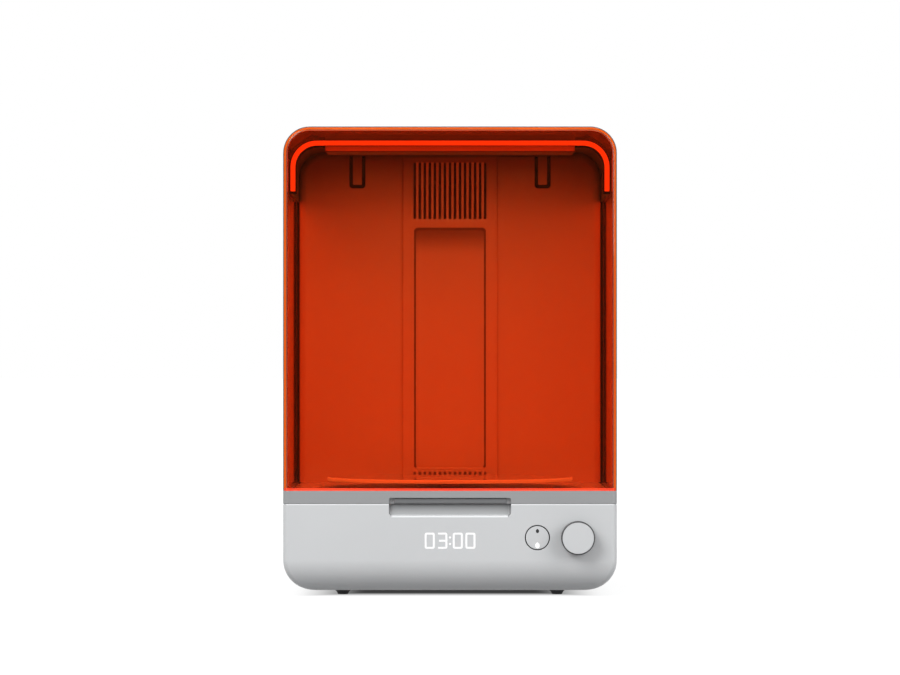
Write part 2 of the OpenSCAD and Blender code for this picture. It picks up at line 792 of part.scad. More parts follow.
module button_switch() {
    color([0.2, 0.2, 0.21]) placed() translate([button_x, 0, control_z]) difference() {
        block(-6, 6, switch_y, board_y, -6, 6);
        pipe_y(6 + 2 * fit, switch_y - 1, switch_y + 1 + button_travel + 0.4);
    }
}

light_d = 3.2;
button_light = button_d / 2 - 3.5;

module status_light() {
    color("white") placed() translate([button_x, 0, control_z - button_light])
        pipe_y(light_d, -button_proud, button_flange_y + button_flange);
}

// Display
module bar_outline(k, grow) {
    w = digit_w;
    t = digit_t;
    long = digit_h / 2 - t - bar_gap;
    if (k == 0) translate([-w + t / 2 - grow, digit_h / 2 - t - grow]) square([w - t + 2 * grow,
        t + 2 * grow]);
    if (k == 3) translate([-w + t / 2 - grow, -digit_h / 2 - grow]) square([w - t + 2 * grow,
        t + 2 * grow]);
    if (k == 6) translate([-w + t + bar_gap - grow, -t / 2 - grow])
        square([w - 2 * t - 2 * bar_gap + 2 * grow, t + 2 * grow]);
    if (k == 1) translate([-t - grow, t / 2 - t / 2 + bar_gap - grow]) square([t + 2 * grow,
        long + t / 2 + 2 * grow]);
    if (k == 2) translate([-t - grow, -long - t / 2 - bar_gap - grow]) square([t + 2 * grow,
        long + t / 2 + 2 * grow]);
    if (k == 5) translate([-w - grow, bar_gap - grow]) square([t + 2 * grow, long + t / 2 + 2 * grow]);
    if (k == 4) translate([-w - grow, -long - t / 2 - bar_gap - grow]) square([t + 2 * grow,
        long + t / 2 + 2 * grow]);
}

module digits(y0, y1, grow) {
    for (d = digit_bars) for (k = d[1]) translate([digit_right[d[0]], 0, digit_z])
        along_y(y0, y1) bar_outline(k, grow);
    for (sz = [-1, 1]) translate([0, 0, digit_z + sz * digit_h / 5]) pipe_y(digit_t + 2 * grow, y0, y1);
}

module display_module() {
    color([0.1, 0.1, 0.11]) placed() {
        block(-display_half, display_half, skin + 0.1, skin + display_l,
            digit_z - display_up, digit_z + display_up);
        block(-15, 15, skin + display_l - eps, board_y, digit_z - 3, digit_z + 3);
    }
}

module display_digits() { color("white") placed() digits(0, skin + 0.1, 0); }

module control_board() {
    color([0.1, 0.35, 0.2]) placed() difference() {
        union() {
            block(board_x0, board_x1, board_y, board_y + board_t, board_z0, board_z1);
            block(0, 14, board_y + board_t - eps, board_y + board_t + 1.6, control_z - 7, control_z + 7);
            block(24, 44, board_y + board_t - eps, board_y + board_t + 6, board_z1 - 9, board_z1 - 1);
            block(-26, -14, board_y + board_t - eps, board_y + board_t + 8, board_z0 + 6, board_z0 + 16);
        }
        for (p = board_screws_at) translate([p[0], 0, p[1]]) pipe_y(screw_d + 0.2, board_y - 1,
            board_y + board_t + 1);
    }
}

module board_screws() {
    color("silver") placed() for (p = board_screws_at)
        translate([p[0], board_y + board_t, p[1]]) rotate([90, 0, 0]) screw(board_t + 6);
}

// Power supply on the bottom plate
module power_supply() {
    color([0.2, 0.42, 0.25]) placed() {
        block(psu_x0, psu_x1, psu_y0, psu_y1, psu_z, psu_z + board_t);
        for (x = [psu_x0 + 5, psu_x1 - 5], y = [psu_y0 + 5, psu_y1 - 5])
            translate([x, y, foot_h + plate_t]) cylinder(d = 5, h = psu_z - foot_h - plate_t + eps);
        block(psu_x0 + 36, psu_x0 + 70, psu_y0 + 20, psu_y0 + 52, psu_z + board_t - eps, psu_z + 26);
        for (y = [18, 40]) translate([psu_x0 + 14, psu_y0 + y, psu_z + board_t - eps])
            cylinder(d = psu_cap_d, h = 26);
        block(psu_x0 + 78, psu_x0 + 82, psu_y0 + 6, psu_y1 - 10, psu_z + board_t - eps, psu_z + 24);
        translate([plug_x, psu_y0 + 24, psu_z + board_t - eps]) cylinder(d = 10, h = 18);
        block(plug_x - plug_half, plug_x + plug_half, plug_y - 16, plug_y, psu_z + board_t - eps,
            psu_z + 14);
    }
}

// Mains inlet and power switch
module power_inlet() {
    color([0.12, 0.12, 0.13]) placed() translate([inlet_x, 0, panel_z]) {
        difference() {
            union() {
                block(-inlet_w / 2, inlet_w / 2, body_d - inlet_l, body_d + eps, -inlet_h / 2,
                    inlet_h / 2);
                along_y(body_d, body_d + flange_t) rounded(-inlet_w / 2 - inlet_rim,
                    -inlet_h / 2 - inlet_rim,
                    inlet_w / 2 + inlet_rim, inlet_h / 2 + inlet_rim, [3, 3, 3, 3]);
            }
            along_y(body_d + flange_t - socket_l, body_d + flange_t + 1)
                rounded(-socket_w / 2, -socket_h / 2, socket_w / 2, socket_h / 2, [1, 1, 4.5, 4.5]);
        }
        for (x = [-7, 0, 7]) block(x - 1, x + 1, body_d + flange_t - socket_l - 1,
            body_d + flange_t - socket_l + blade_l, x == 0 ? -0.5 : -3.5, x == 0 ? 3.5 : 0.5);
    }
}

rocker_box_x = rocker_w / 2 + rocker_rim;
rocker_box_z = rocker_h / 2 + rocker_room + rocker_rim - 1;

module rocker_frame() {
    color([0.12, 0.12, 0.13]) placed() translate([rocker_x, 0, panel_z]) difference() {
        union() {
            block(-rocker_box_x, rocker_box_x, rocker_y - 9, body_d + eps, -rocker_box_z, rocker_box_z);
            along_y(body_d, body_d + flange_t) rounded(-rocker_box_x - 2, -rocker_box_z - 2,
                rocker_box_x + 2, rocker_box_z + 2, [2, 2, 2, 2]);
        }
        block(-rocker_w / 2 - 0.2, rocker_w / 2 + 0.2, rocker_y - 6, body_d + flange_t + 1,
            -rocker_h / 2 - rocker_room, rocker_h / 2 + rocker_room);
        translate([0, rocker_y, 0]) pipe_x(rocker_pin_d + 2 * fit, -rocker_w / 2 - 1.4,
            rocker_w / 2 + 1.4);
    }
}

module power_rocker() {
    color([0.1, 0.1, 0.1]) placed() translate([rocker_x, rocker_y, panel_z]) {
        rotate([rocker_tilt, 0, 0]) along_x(-rocker_w / 2, rocker_w / 2)
            polygon([[-2.5, -rocker_h / 2 + 1.7], [4.4, -rocker_h / 2], [3.4, 0], [4.4, rocker_h / 2],
                [-2.5, rocker_h / 2 - 1.7]]);
        pipe_x(rocker_pin_d, -rocker_w / 2 - 1.2, rocker_w / 2 + 1.2);
    }
}

module cooling_fan_place() { placed() translate([fan_x, rear_inside, panel_z]) mirror([0, 1,
    0]) children(); }
module cooling_fan_frame() { color([0.15, 0.15, 0.16]) cooling_fan_place() fan_frame(fan_size, fan_l, 18,
    3); }
module cooling_fan_rotor() { color([0.2, 0.2, 0.21]) cooling_fan_place() fan_rotor(fan_size, fan_l, 18,
    3, 7); }

// Turntable drive
module drive_plate() {
    color([0.7, 0.71, 0.73]) placed() difference() {
        block(drive_x0, drive_x1, table_y - drive_half, table_y + drive_half, drive_z, drive_top);
        for (p = drive_bosses) translate([p[0], p[1], drive_z - 1]) cylinder(d = screw_d + 0.4,
            h = drive_plate_t + 2);
        translate([0, table_y, drive_z - 1]) {
            cylinder(d = neck_d + 3, h = drive_plate_t + 2);
            for (a = [45:90:315]) rotate(a) translate([bearing_screw_r, 0, 0])
                cylinder(d = screw_d, h = drive_plate_t + 2);
        }
        translate([motor_x, table_y, drive_z - 1]) cylinder(d = motor_shaft_d + 4, h = drive_plate_t + 2);
        for (p = motor_screws_at) translate([p[0], p[1], drive_z - 1])
            cylinder(d = screw_d + 0.4, h = drive_plate_t + 2);
    }
}

module drive_screws() {
    color("silver") placed() {
        for (p = drive_bosses) translate([p[0], p[1], drive_z]) screw(drive_plate_t + 7);
        translate([0, table_y, drive_z - 3]) for (a = [45:90:315]) rotate(a)
            translate([bearing_screw_r, 0, 0]) screw(3 + drive_plate_t - 0.5);
        for (p = motor_screws_at) translate([p[0], p[1], drive_top]) mirror([0, 0, 1])
            screw(drive_plate_t + motor_screw_l - 0.5);
    }
}

module bearing_housing() {
    color([0.75, 0.76, 0.78]) placed() translate([0, table_y, 0]) difference() {
        union() {
            translate([0, 0, bearing_z]) cylinder(d = bearing_od + 2 * bearing_wall, h = bearing_h);
            translate([0, 0, drive_z - 3]) cylinder(r = bearing_screw_r + 4, h = 3);
        }
        translate([0, 0, lower_bearing_z]) cylinder(d = bearing_od, h = bearing_h);
        translate([0, 0, bearing_z - 1]) cylinder(d = bearing_od - 4, h = bearing_lip + 2);
        for (a = [45:90:315]) rotate(a) translate([bearing_screw_r, 0, drive_z - 4])
            cylinder(d = screw_d + 0.2, h = 5);
    }
}

module spindle_bearings() {
    color([0.55, 0.57, 0.6]) placed() for (z = [lower_bearing_z, upper_bearing_z])
        translate([0, table_y, z]) difference() {
            cylinder(d = bearing_od, h = bearing_w);
            translate([0, 0, -1]) cylinder(d = spindle_d + 2 * fit, h = bearing_w + 2);
        }
}

module spindle() {
    color("silver") placed() translate([0, table_y, 0]) {
        translate([0, 0, bearing_z + 0.3]) cylinder(d = spindle_d, h = hub_z + 1 - bearing_z - 0.3);
        translate([0, 0, lower_bearing_z + bearing_w + 0.1])
            cylinder(d = spindle_d + 3, h = upper_bearing_z - lower_bearing_z - bearing_w - 0.2);
    }
}

module spindle_gear() {
    color([0.93, 0.92, 0.88]) placed() translate([0, table_y, 0]) {
        translate([0, 0, gear_z]) spur_gear(gear_teeth, spindle_d);
        difference() {
            translate([0, 0, drive_z + 0.1]) cylinder(d = neck_d, h = gear_hub_top - drive_z - 0.1);
            translate([0, 0, drive_z - 1]) cylinder(d = spindle_d, h = gear_hub_top - drive_z + 2);
        }
    }
}

module drive_motor() {
    color([0.5, 0.52, 0.54]) placed() difference() {
        translate([motor_x, table_y, 0]) union() {
            translate([0, 0, drive_z - gearbox_h]) cylinder(d = gearbox_d, h = gearbox_h);
            translate([0, 0, drive_z - gearbox_h - motor_h]) cylinder(d = motor_d, h = motor_h + eps);
        }
        translate([motor_x, table_y, drive_z - 10]) cylinder(d = motor_shaft_d + 2 * fit, h = 11);
        for (p = motor_screws_at) translate([p[0], p[1], drive_z - motor_screw_l])
            cylinder(d = screw_d, h = motor_screw_l + 1);
    }
}

module motor_shaft() {
    color("silver") placed() translate([motor_x, table_y, drive_z - 9.5])
        cylinder(d = motor_shaft_d, h = gear_z + gear_w + 0.5 - drive_z + 9.5);
}

module motor_pinion() {
    color([0.8, 0.7, 0.4]) placed() translate([motor_x, table_y, gear_z])
        rotate(180 + 180 / pinion_teeth) spur_gear(pinion_teeth, motor_shaft_d);
}

module turntable_hub() {
    color([0.85, 0.86, 0.88]) placed() translate([0, table_y, 0]) difference() {
        union() {
            translate([0, 0, gear_hub_top + 0.1]) cylinder(d = neck_d, h = hub_z - gear_hub_top);
            translate([0, 0, hub_z]) cylinder(d = hub_d, h = hub_t);
            translate([0, 0, table_z - eps]) cylinder(d = hub_boss_d, h = hub_boss_h + eps);
            for (sx = [-1, 1]) translate([sx * drive_pin_r, 0, table_z - eps])
                cylinder(d = drive_pin_d, h = hub_boss_h + eps);
        }
        translate([0, 0, gear_hub_top - 1]) cylinder(d = spindle_d, h = hub_z + 2.1 - gear_hub_top);
    }
}

module turntable() {
    color([0.9, 0.88, 0.86]) placed() translate([0, table_y, table_z]) difference() {
        rotate_extrude() difference() {
            square([table_d / 2, table_t]);
            translate([table_d / 2, table_t]) rotate(180) bite(0.8);
            translate([table_d / 2, 0]) mirror([1, 0]) bite(0.8);
        }
        translate([0, 0, -1]) cylinder(d = hub_boss_d + 2 * slack, h = 1 + hub_boss_h + hub_room);
        for (sx = [-1, 1]) translate([sx * drive_pin_r, 0, -1])
            cylinder(d = drive_pin_d + 2 * slack, h = 1 + hub_boss_h + hub_room);
    }
}

// Chamber floor with its lights
floor_corner_r = 6;
floor_screws_at = [for (sx = [-1, 1], y = [floor_front + 12, floor_back - 15]) [sx * (floor_half - 12),
    y]];
floor_skin = 2.5;

module chamber_floor() {
    color([0.93, 0.92, 0.9]) placed() difference() {
        union() {
            difference() {
                along_z(base_top, floor_top) rounded(-floor_half, floor_front, floor_half, floor_back,
                    [floor_corner_r, floor_corner_r, 0, 0]);
                along_z(base_top - 1, floor_top - floor_skin) rounded(-floor_half + liner_t,
                    floor_front + liner_t,
                    floor_half - liner_t, floor_back - liner_t, [3, 3, 0, 0]);
            }
            for (p = floor_screws_at)
                translate([p[0], p[1], base_top]) cylinder(d = boss_d, h = floor_rise - 1);
        }
        for (p = floor_screws_at)
            translate([p[0], p[1], base_top - 1]) cylinder(d = screw_d, h = floor_rise - floor_skin + 1);
        translate([0, table_y, base_top]) cylinder(d = neck_hole_d, h = floor_rise + 1);
        for (sx = [-1, 1]) translate([sx * window_x, window_y, 0])
            along_z(floor_top - floor_skin - 1, floor_top + 1) rounded(-window_w / 2, -window_l / 2,
                window_w / 2, window_l / 2, [2, 2, 2, 2]);
    }
}

module floor_windows() {
    color([0.95, 0.95, 0.92]) placed() for (sx = [-1, 1]) translate([sx * window_x, window_y, 0]) {
        along_z(floor_top - floor_skin - eps, floor_top) rounded(-window_w / 2 + 0.1, -window_l / 2 + 0.1,
            window_w / 2 - 0.1, window_l / 2 - 0.1, [2, 2, 2, 2]);
        block(-window_w / 2 - 3, window_w / 2 + 3, -window_l / 2 - 3, window_l / 2 + 3,
            floor_top - floor_skin - 1.5, floor_top - floor_skin);
    }
}

module floor_lamps() {
    color([0.9, 0.9, 0.88]) placed() for (sx = [-1, 1]) translate([sx * window_x, window_y, 0]) {
        block(-window_w / 2, window_w / 2, -window_l / 2, window_l / 2, base_top + 2,
            base_top + 2 + board_t);
        for (y = [-window_l / 2 + 4, window_l / 2 - 4]) translate([0, y, base_top]) cylinder(d = 5,
            h = 2 + eps);
        for (i = [-3:3]) translate([0, i * window_l / 8, base_top + 2 + board_t - eps])
            translate([-1.75, -1.75, 0]) cube([3.5, 3.5, 1.2]);
    }
}

module deck_screws() {
    color("silver") placed() {
        for (p = floor_screws_at) translate([p[0], p[1], deck_z]) screw(wall + 6);
        for (p = housing_screws_at) translate([p[0], p[1], deck_z]) screw(wall + 6);
    }
}

// Rubber pads that the hood rests on, and the parts that sense that it is shut
bumper_d = 5;
bumper_in = 1.2;
bumpers_at = [for (sx = [-1, 1], y = [40, hood_d - 20]) [sx * (half - 3.2), y]];

module hood_bumpers() {
    color([0.15, 0.15, 0.15]) placed() for (p = bumpers_at)
        translate([p[0], p[1], base_top - bumper_in]) cylinder(d = bumper_d - 0.1,
            h = bumper_in + hood_gap - 0.05);
}

magnet_y = 70;
magnet_d = 3;
sensor_w = 12;

module hood_sensor() {
    color([0.1, 0.3, 0.2]) placed() {
        block(half - wall - 1 - sensor_w, half - wall - 1, magnet_y - sensor_w / 2,
            magnet_y + sensor_w / 2,
            deck_z - board_t, deck_z);
        block(half - wall - 5, half - wall - 1.5, magnet_y - 2, magnet_y + 2,
            deck_z - board_t - 1.4, deck_z - board_t + eps);
    }
}

module hood_magnet() {
    color("silver") placed() translate([half - band_t / 2, magnet_y, hood_z]) cylinder(d = magnet_d,
        h = magnet_d);
}

// Hood
module hood_shell() {
    color([1, 0.35, 0.05, 0.55]) placed() difference() {
        union() {
            intersection() {
                hood_block(0, band_top, hood_d);
                block(-body_w, body_w, -1, hood_d + 1, band_top, hood_top + 1);
            }
            along_z(band_top - tongue_h, band_top + 1) hood_plan(hood_wall - tongue_t, hood_d);
        }
        hood_block(hood_wall, band_top - tongue_h - 1, hood_d + 2);
    }
}

module hood_frame() {
    groove_out = hood_wall - tongue_t - 0.1;
    color([0.63, 0.64, 0.65]) placed() difference() {
        along_z(hood_z, band_top) hood_plan(0, hood_d);
        along_z(hood_z - 1, band_top + 1) hood_plan(band_t, hood_d + 1);
        difference() {
            along_z(band_top - tongue_h - 0.1, band_top + 1) hood_plan(groove_out, hood_d + 1);
            along_z(band_top - tongue_h - 1, band_top + 2) hood_plan(hood_wall + 0.1, hood_d + 2);
        }
        along_y(-1, grip_in) rounded(-grip_w / 2, hood_z - 3, grip_w / 2, hood_z + grip_h, [0, 0, 2, 2]);
        translate([half - band_t / 2, magnet_y, hood_z - 1]) cylinder(d = magnet_d + 0.1,
            h = magnet_d + 1.1);
    }
}

module grip_pad() {
    color([0.3, 0.3, 0.31]) placed() block(-grip_w / 2 + 4, grip_w / 2 - 4, grip_in - 1.2, grip_in,
        hood_z + 0.6, hood_z + grip_h - 0.6);
}

// Hinges: each has one hood knuckle between two housing knuckles
module leaf(y0, y1, x0, x1) {
    block(x0, x1, y0, y1, hood_top - hood_wall - leaf_t, hood_top - hood_wall);
}

module hood_hinge_leaves() {
    color([0.75, 0.76, 0.78]) placed() for (sx = [-1, 1]) translate([sx * hinge_x, 0, 0]) difference() {
        union() {
            leaf(hood_d - leaf_l, hood_d - 1, -hinge_w / 2 + 2, hinge_w / 2 - 2);
            leaf(hood_d - 2, hinge_y, -hood_knuckle / 2, hood_knuckle / 2);
            translate([0, hinge_y, hinge_z]) pipe_x(barrel_d, -hood_knuckle / 2, hood_knuckle / 2);
        }
        translate([0, hinge_y, hinge_z]) pipe_x(hinge_pin_d + 2 * fit, -hinge_w, hinge_w);
    }
}

module housing_hinge_leaves() {
    inner = hood_knuckle / 2 + knuckle_gap;
    color([0.68, 0.69, 0.71]) placed() for (sx = [-1, 1]) translate([sx * hinge_x, 0, 0]) difference() {
        union() {
            block(-hinge_w / 2, hinge_w / 2, hinge_y + barrel_d / 2 + 1.2, hinge_y + leaf_l,
                hood_top - wall - leaf_t, hood_top - wall);
            for (s = [-1, 1]) {
                x0 = s > 0 ? inner : -hinge_w / 2;
                x1 = s > 0 ? hinge_w / 2 : -inner;
                block(x0, x1, hinge_y, hinge_y + barrel_d / 2 + 2, hood_top - wall - leaf_t,
                    hood_top - wall);
                translate([0, hinge_y, hinge_z]) pipe_x(barrel_d, x0, x1);
            }
        }
        translate([0, hinge_y, hinge_z]) pipe_x(hinge_pin_d, -hinge_w, hinge_w);
    }
}

module hinge_pins() {
    color("silver") placed() for (sx = [-1, 1]) translate([sx * hinge_x, hinge_y, hinge_z])
        pipe_x(hinge_pin_d, -hinge_w / 2 - 0.3, hinge_w / 2 + 0.3);
}

// Rear housing
housing_screws_at = [for (sx = [-1, 1], y = [bulkhead_back + 8, body_d - housing_r - 4])
    [sx * (half - wall - 6), y]];
bulkhead_screw_x = half - wall - 13;
bulkhead_screw_low = 34;
bulkhead_screw_mid = 164;
bulkhead_screws_at = [for (sx = [-1, 1], z = [base_top + bulkhead_screw_low,
    base_top + bulkhead_screw_mid, canopy_z + 6]) [sx * bulkhead_screw_x, z]];

module rear_housing() {
    color([0.82, 0.825, 0.83]) placed() difference() {
        union() {
            difference() {
                housing_block(0, base_top, housing_y, hood_edge_r);
                housing_block(wall, base_top - 1, housing_y - 1, 0);
            }
            for (p = bulkhead_screws_at) translate([p[0], 0, p[1]]) pipe_y(boss_d, bulkhead_back,
                body_d - wall / 2);
            intersection() {
                housing_block(wall / 2, base_top, housing_y, 0);
                for (p = housing_screws_at) translate([p[0], p[1], base_top]) union() {
                    cylinder(d = boss_d, h = 14);
                    translate([p[0] > 0 ? 0 : -boss_d, -1, 0]) cube([boss_d, 2, 14]);
                }
            }
        }
        for (p = bulkhead_screws_at) translate([p[0], 0, p[1]]) pipe_y(screw_d, bulkhead_y,
            bulkhead_back + 14);
        for (p = housing_screws_at) translate([p[0], p[1], base_top - 1]) cylinder(d = screw_d, h = 12);
        for (sx = [-1, 1]) translate([sx * hinge_x, 0, 0])
            block(-notch_half, notch_half, housing_y - 1, hinge_y + barrel_d / 2 + 1,
                hood_top - wall - 1, hood_top + 1);
        for (sx = [-1, 1], i = [0:12]) translate([sx * ((driver_x0 + driver_x1) / 2) + (i - 6)
            * vent_pitch, 0, 0])
            along_y(rear_inside - 1, body_d + 1) rounded(-vent_slot / 2, driver_z0 + 20, vent_slot / 2,
                driver_z1 - 20, [0.9, 0.9, 0.9, 0.9]);
    }
}

module rear_bulkhead() {
    edge = half - wall - slack;
    color([0.72, 0.73, 0.75]) placed() difference() {
        along_y(bulkhead_y, bulkhead_back) arch(edge, base_top, hood_top - wall - slack,
            hood_corner_r - wall - slack);
        for (p = bulkhead_screws_at) translate([p[0], 0, p[1]]) pipe_y(screw_d + 0.4, bulkhead_y - 1,
            bulkhead_back + 1);
        for (sx = [-1, 1]) translate([sx * hinge_x, 0, 0])
            block(-notch_half, notch_half, bulkhead_y - 1, bulkhead_back + 1, canopy_top + 0.3, hood_top);
        block(wire_x - wire_d, wire_x + wire_d, bulkhead_y - 1, bulkhead_back + 1, canopy_top - 0.5,
            hood_top);
        translate([0, 0, blower_z]) pipe_y(blower_size - 4, bulkhead_y - 1, bulkhead_back + 1);
        block(-duct_half + 4, duct_half - 4, bulkhead_y - 1, bulkhead_back + 1, skirt_z + 3,
            skirt_z + 30);
    }
}

module bulkhead_screws() {
    color("silver") placed() for (p = bulkhead_screws_at)
        translate([p[0], bulkhead_y, p[1]]) rotate([-90, 0, 0]) screw(bulkhead_t + 10);
}

// Back wall of the chamber
snap_z = column_top - snap_l;

module back_liner() {
    color([0.93, 0.92, 0.9]) placed() difference() {
        intersection() {
            difference() {
                along_y(liner_y, bulkhead_y) arch(liner_half, floor_top, liner_top, liner_r);
                along_y(liner_y + liner_t, bulkhead_y + 1) arch(liner_half - liner_t, floor_top + liner_t,
                    liner_top - liner_t, liner_r - liner_t);
            }
            along_z(floor_top, liner_top) rounded(-liner_half, liner_y, liner_half, bulkhead_y, [7, 7, 0,
                0]);
        }
        block(-column_skirt - slack, column_skirt + slack, liner_y - 1, liner_y + liner_t + 1,
            skirt_z - slack, skirt_top + slack);
        for (sx = [-1, 1]) translate([sx * snap_x, 0, 0]) difference() {
            along_y(liner_y - 1, liner_y + liner_t + 1)
                rounded(-snap_w / 2, snap_z, snap_w / 2, column_top, [2, 2, 0, 0]);
            along_y(liner_y - 2, liner_y + liner_t + 2) rounded(-snap_w / 2 + snap_gap, snap_z + snap_gap,
                snap_w / 2 - snap_gap, column_top + 1, [0.6, 0.6, 0, 0]);
        }
    }
}

module air_column() {
    color([0.93, 0.92, 0.9]) placed() difference() {
        union() {
            intersection() {
                along_z(column_z, column_top) rounded(-column_w / 2, liner_y - column_t, column_w / 2,
                    liner_y, [2, 2, 0, 0]);
                along_x(-column_w / 2, column_w / 2) rounded(liner_y - column_t, column_z, liner_y,
                    column_top, [0, 0, 0, 2]);
            }
            difference() {
                block(-column_skirt, column_skirt, liner_y - eps, bulkhead_y, skirt_z, skirt_top);
                block(-column_skirt + column_wall, column_skirt - column_wall, liner_y, bulkhead_y + 1,
                    skirt_z + column_wall, slot_z - 14);
                block(-column_skirt + column_wall, column_skirt - column_wall, liner_y, bulkhead_y + 1,
                    slot_z - 14 + column_wall, skirt_top - column_wall);
            }
        }
        for (i = [0:slot_n - 1]) translate([(i - (slot_n - 1) / 2) * slot_pitch, 0, 0]) {
            along_y(liner_y - column_t - 1, liner_y + 1)
                rounded(-slot_w / 2, slot_z, slot_w / 2, slot_top, [0.5, 0.5, 0.5, 0.5]);
            block(-slot_w / 2, slot_w / 2, liner_y - column_t - 1, liner_y + 1,
                skirt_z + column_wall, skirt_z + column_wall + outlet_h);
        }
        along_y(liner_y - column_t - 1, liner_y - column_t + recess_in) rounded(-recess_w / 2,
            hood_top - recess_drop - recess_h, recess_w / 2, hood_top - recess_drop, [3.5, 3.5, 3.5,
                3.5]);
    }
}

module air_duct() {
    color([0.55, 0.56, 0.58]) placed() difference() {
        union() {
            block(-duct_half, duct_half, bulkhead_back, bulkhead_back + duct_l, duct_z, duct_top);
            for (sx = [-1, 1], z = [duct_z + 40, duct_top - 60])
                block(sx > 0 ? duct_half - 1 : -duct_half - 9, sx > 0 ? duct_half + 9 : -duct_half + 1,
                    bulkhead_back, bulkhead_back + 2, z, z + 12);
        }
        block(-duct_half + duct_t, duct_half - duct_t, bulkhead_back - 1, bulkhead_back + duct_l - duct_t,
            duct_z + duct_t, duct_top - duct_t);
    }
}

heater_up = 90;
heater_z = duct_z + heater_up;
blower_hub_d = 30;

module air_heater() {
    span = duct_half - duct_t;
    y0 = bulkhead_back + 8;
    color([0.6, 0.58, 0.55]) placed() {
        for (z = [heater_z, heater_z + heater_h / 2 - 2, heater_z + heater_h - 4])
            block(-span, span, y0, y0 + 14, z, z + 4);
        for (i = [0:16]) translate([(i - 8) * (2 * span - 6) / 16, 0, 0])
            block(-0.4, 0.4, y0 + 1, y0 + 13, heater_z + 1, heater_z + heater_h - 1);
    }
}

module blower_place() { placed() translate([0, bulkhead_back, blower_z]) children(); }
module blower_frame() { color([0.15, 0.15, 0.16]) blower_place() fan_frame(blower_size, blower_l,
    blower_hub_d, 4); }
module blower_rotor() { color([0.2, 0.2, 0.21]) blower_place() fan_rotor(blower_size, blower_l,
    blower_hub_d, 4, 7); }

module lamp_driver() {
    color([0.12, 0.32, 0.22]) placed() {
        block(driver_x0, driver_x1, driver_y, driver_y + board_t, driver_z0, driver_z1);
        for (x = [driver_x0 + 5, driver_x1 - 5], z = [driver_z0 + 5, driver_z1 - 5])
            translate([x, 0, z]) pipe_y(5, bulkhead_back, driver_y + eps);
        for (z = [driver_z0 + 22, driver_z0 + 52])
            block(driver_x0 + 12, driver_x0 + 36, driver_y + board_t - eps, driver_y + 12, z, z + 20);
        for (z = [driver_z0 + 26, driver_z0 + 46, driver_z0 + 66])
            translate([driver_x0 + 50, 0, z]) pipe_y(10, driver_y + board_t - eps, driver_y + 16);
    }
}

// Canopy over the chamber, its glowing front edge and the lamp set through it
module canopy() {
    color([0.85, 0.86, 0.88]) placed() difference() {
        along_y(lamp_y, bulkhead_y) arch(canopy_half, canopy_z, canopy_top, canopy_r);
        along_y(lamp_y - 1, bulkhead_y + 1) arch(canopy_half - canopy_t, canopy_z - 1,
            canopy_top - canopy_t,
            canopy_r - canopy_t);
        block(-lamp_w / 2 + lamp_board_in, lamp_w / 2 - lamp_board_in, lamp_y + lamp_board_in,
            lamp_y + lamp_l - lamp_board_in, canopy_top - canopy_t - 1, canopy_top + 1);
    }
}

module light_arch() {
    color([1, 0.3, 0.1]) placed() difference() {
        along_y(canopy_front, lamp_y) arch(canopy_half, canopy_z, canopy_top, canopy_r);
        along_y(canopy_front - 1, lamp_y + 1) arch(canopy_half - arch_t, canopy_z - 1,
            canopy_top - arch_t,
            canopy_r - arch_t);
    }
}

lamp_under = canopy_top - canopy_t;
lamp_base_t = 1.6;
fin_t = 1.2;
fin_n = 9;
led_size = 3.5;
led_t = 1.2;
led_row = 9;
diffuser_t = 1.5;

module lamp_unit() {
    board_half = lamp_w / 2 - lamp_board_in - slack;
    y0 = lamp_y + lamp_board_in + slack;
    y1 = lamp_y + lamp_l - lamp_board_in - slack;
    color([0.75, 0.76, 0.78]) placed() {
        block(-lamp_w / 2, lamp_w / 2, lamp_y, lamp_y + lamp_l, canopy_top, canopy_top + lamp_base_t);
        for (i = [0:fin_n]) translate([0, lamp_y + i * (lamp_l - fin_t) / fin_n, 0])
            block(-lamp_w / 2, lamp_w / 2, 0, fin_t, canopy_top + lamp_base_t - eps,
                canopy_top + lamp_up);
        block(-board_half, board_half, y0, y1, lamp_under, canopy_top + eps);
        for (sy = [-1, 1], i = [0:led_n - 1])
            translate([(i - (led_n - 1) / 2) * (lamp_w - 30) / led_n, lamp_y + lamp_l / 2 + sy * led_row,
                lamp_under - led_t]) translate([-led_size / 2, -led_size / 2, 0])
                cube([led_size, led_size, led_t + eps]);
    }
}

module lamp_diffuser() {
    low = lamp_under - lamp_down;
    color([1, 0.9, 0.85]) placed() difference() {
        along_z(low, lamp_under) rounded(-lamp_w / 2, lamp_y, lamp_w / 2, lamp_y + lamp_l, [2, 2, 2, 2]);
        block(-lamp_w / 2 + diffuser_t, lamp_w / 2 - diffuser_t, lamp_y + diffuser_t,
            lamp_y + lamp_l - diffuser_t, low + diffuser_t, lamp_under + 1);
    }
}

// Wiring from the power supply up to the lamp
wire_y = bulkhead_back + 20;
wire_top = canopy_top + 0.1 + wire_d / 2;
bend = 8;
plug_x = psu_x1 - 10;
plug_y = psu_y1 - 4;
plug_half = 7;
wire_low = psu_z + 8;
wire_route = concat([[wire_x, lamp_y + lamp_l, wire_top]],
    [for (a = [0:30:90]) [wire_x, wire_y - bend + bend * sin(a), wire_top - bend + bend * cos(a)]],
    [for (a = [0:30:90]) [wire_x - bend + bend * cos(a), wire_y, wire_low + bend - bend * sin(a)]],
    [for (a = [0:30:90]) [plug_x + bend - bend * sin(a), wire_y - bend + bend * cos(a), wire_low]],
    [[plug_x, plug_y, wire_low]]);

function unit(v) = v / norm(v);
function route_dir(p, i) = i == 0 ? unit(p[1] - p[0])
    : i == len(p) - 1 ? unit(p[i] - p[i - 1]) : unit(unit(p[i + 1] - p[i]) + unit(p[i] - p[i - 1]));
function ring_side(d) = unit(cross(d, abs(d[0]) > 0.9 ? [0, 0, 1] : [1, 0, 0]));

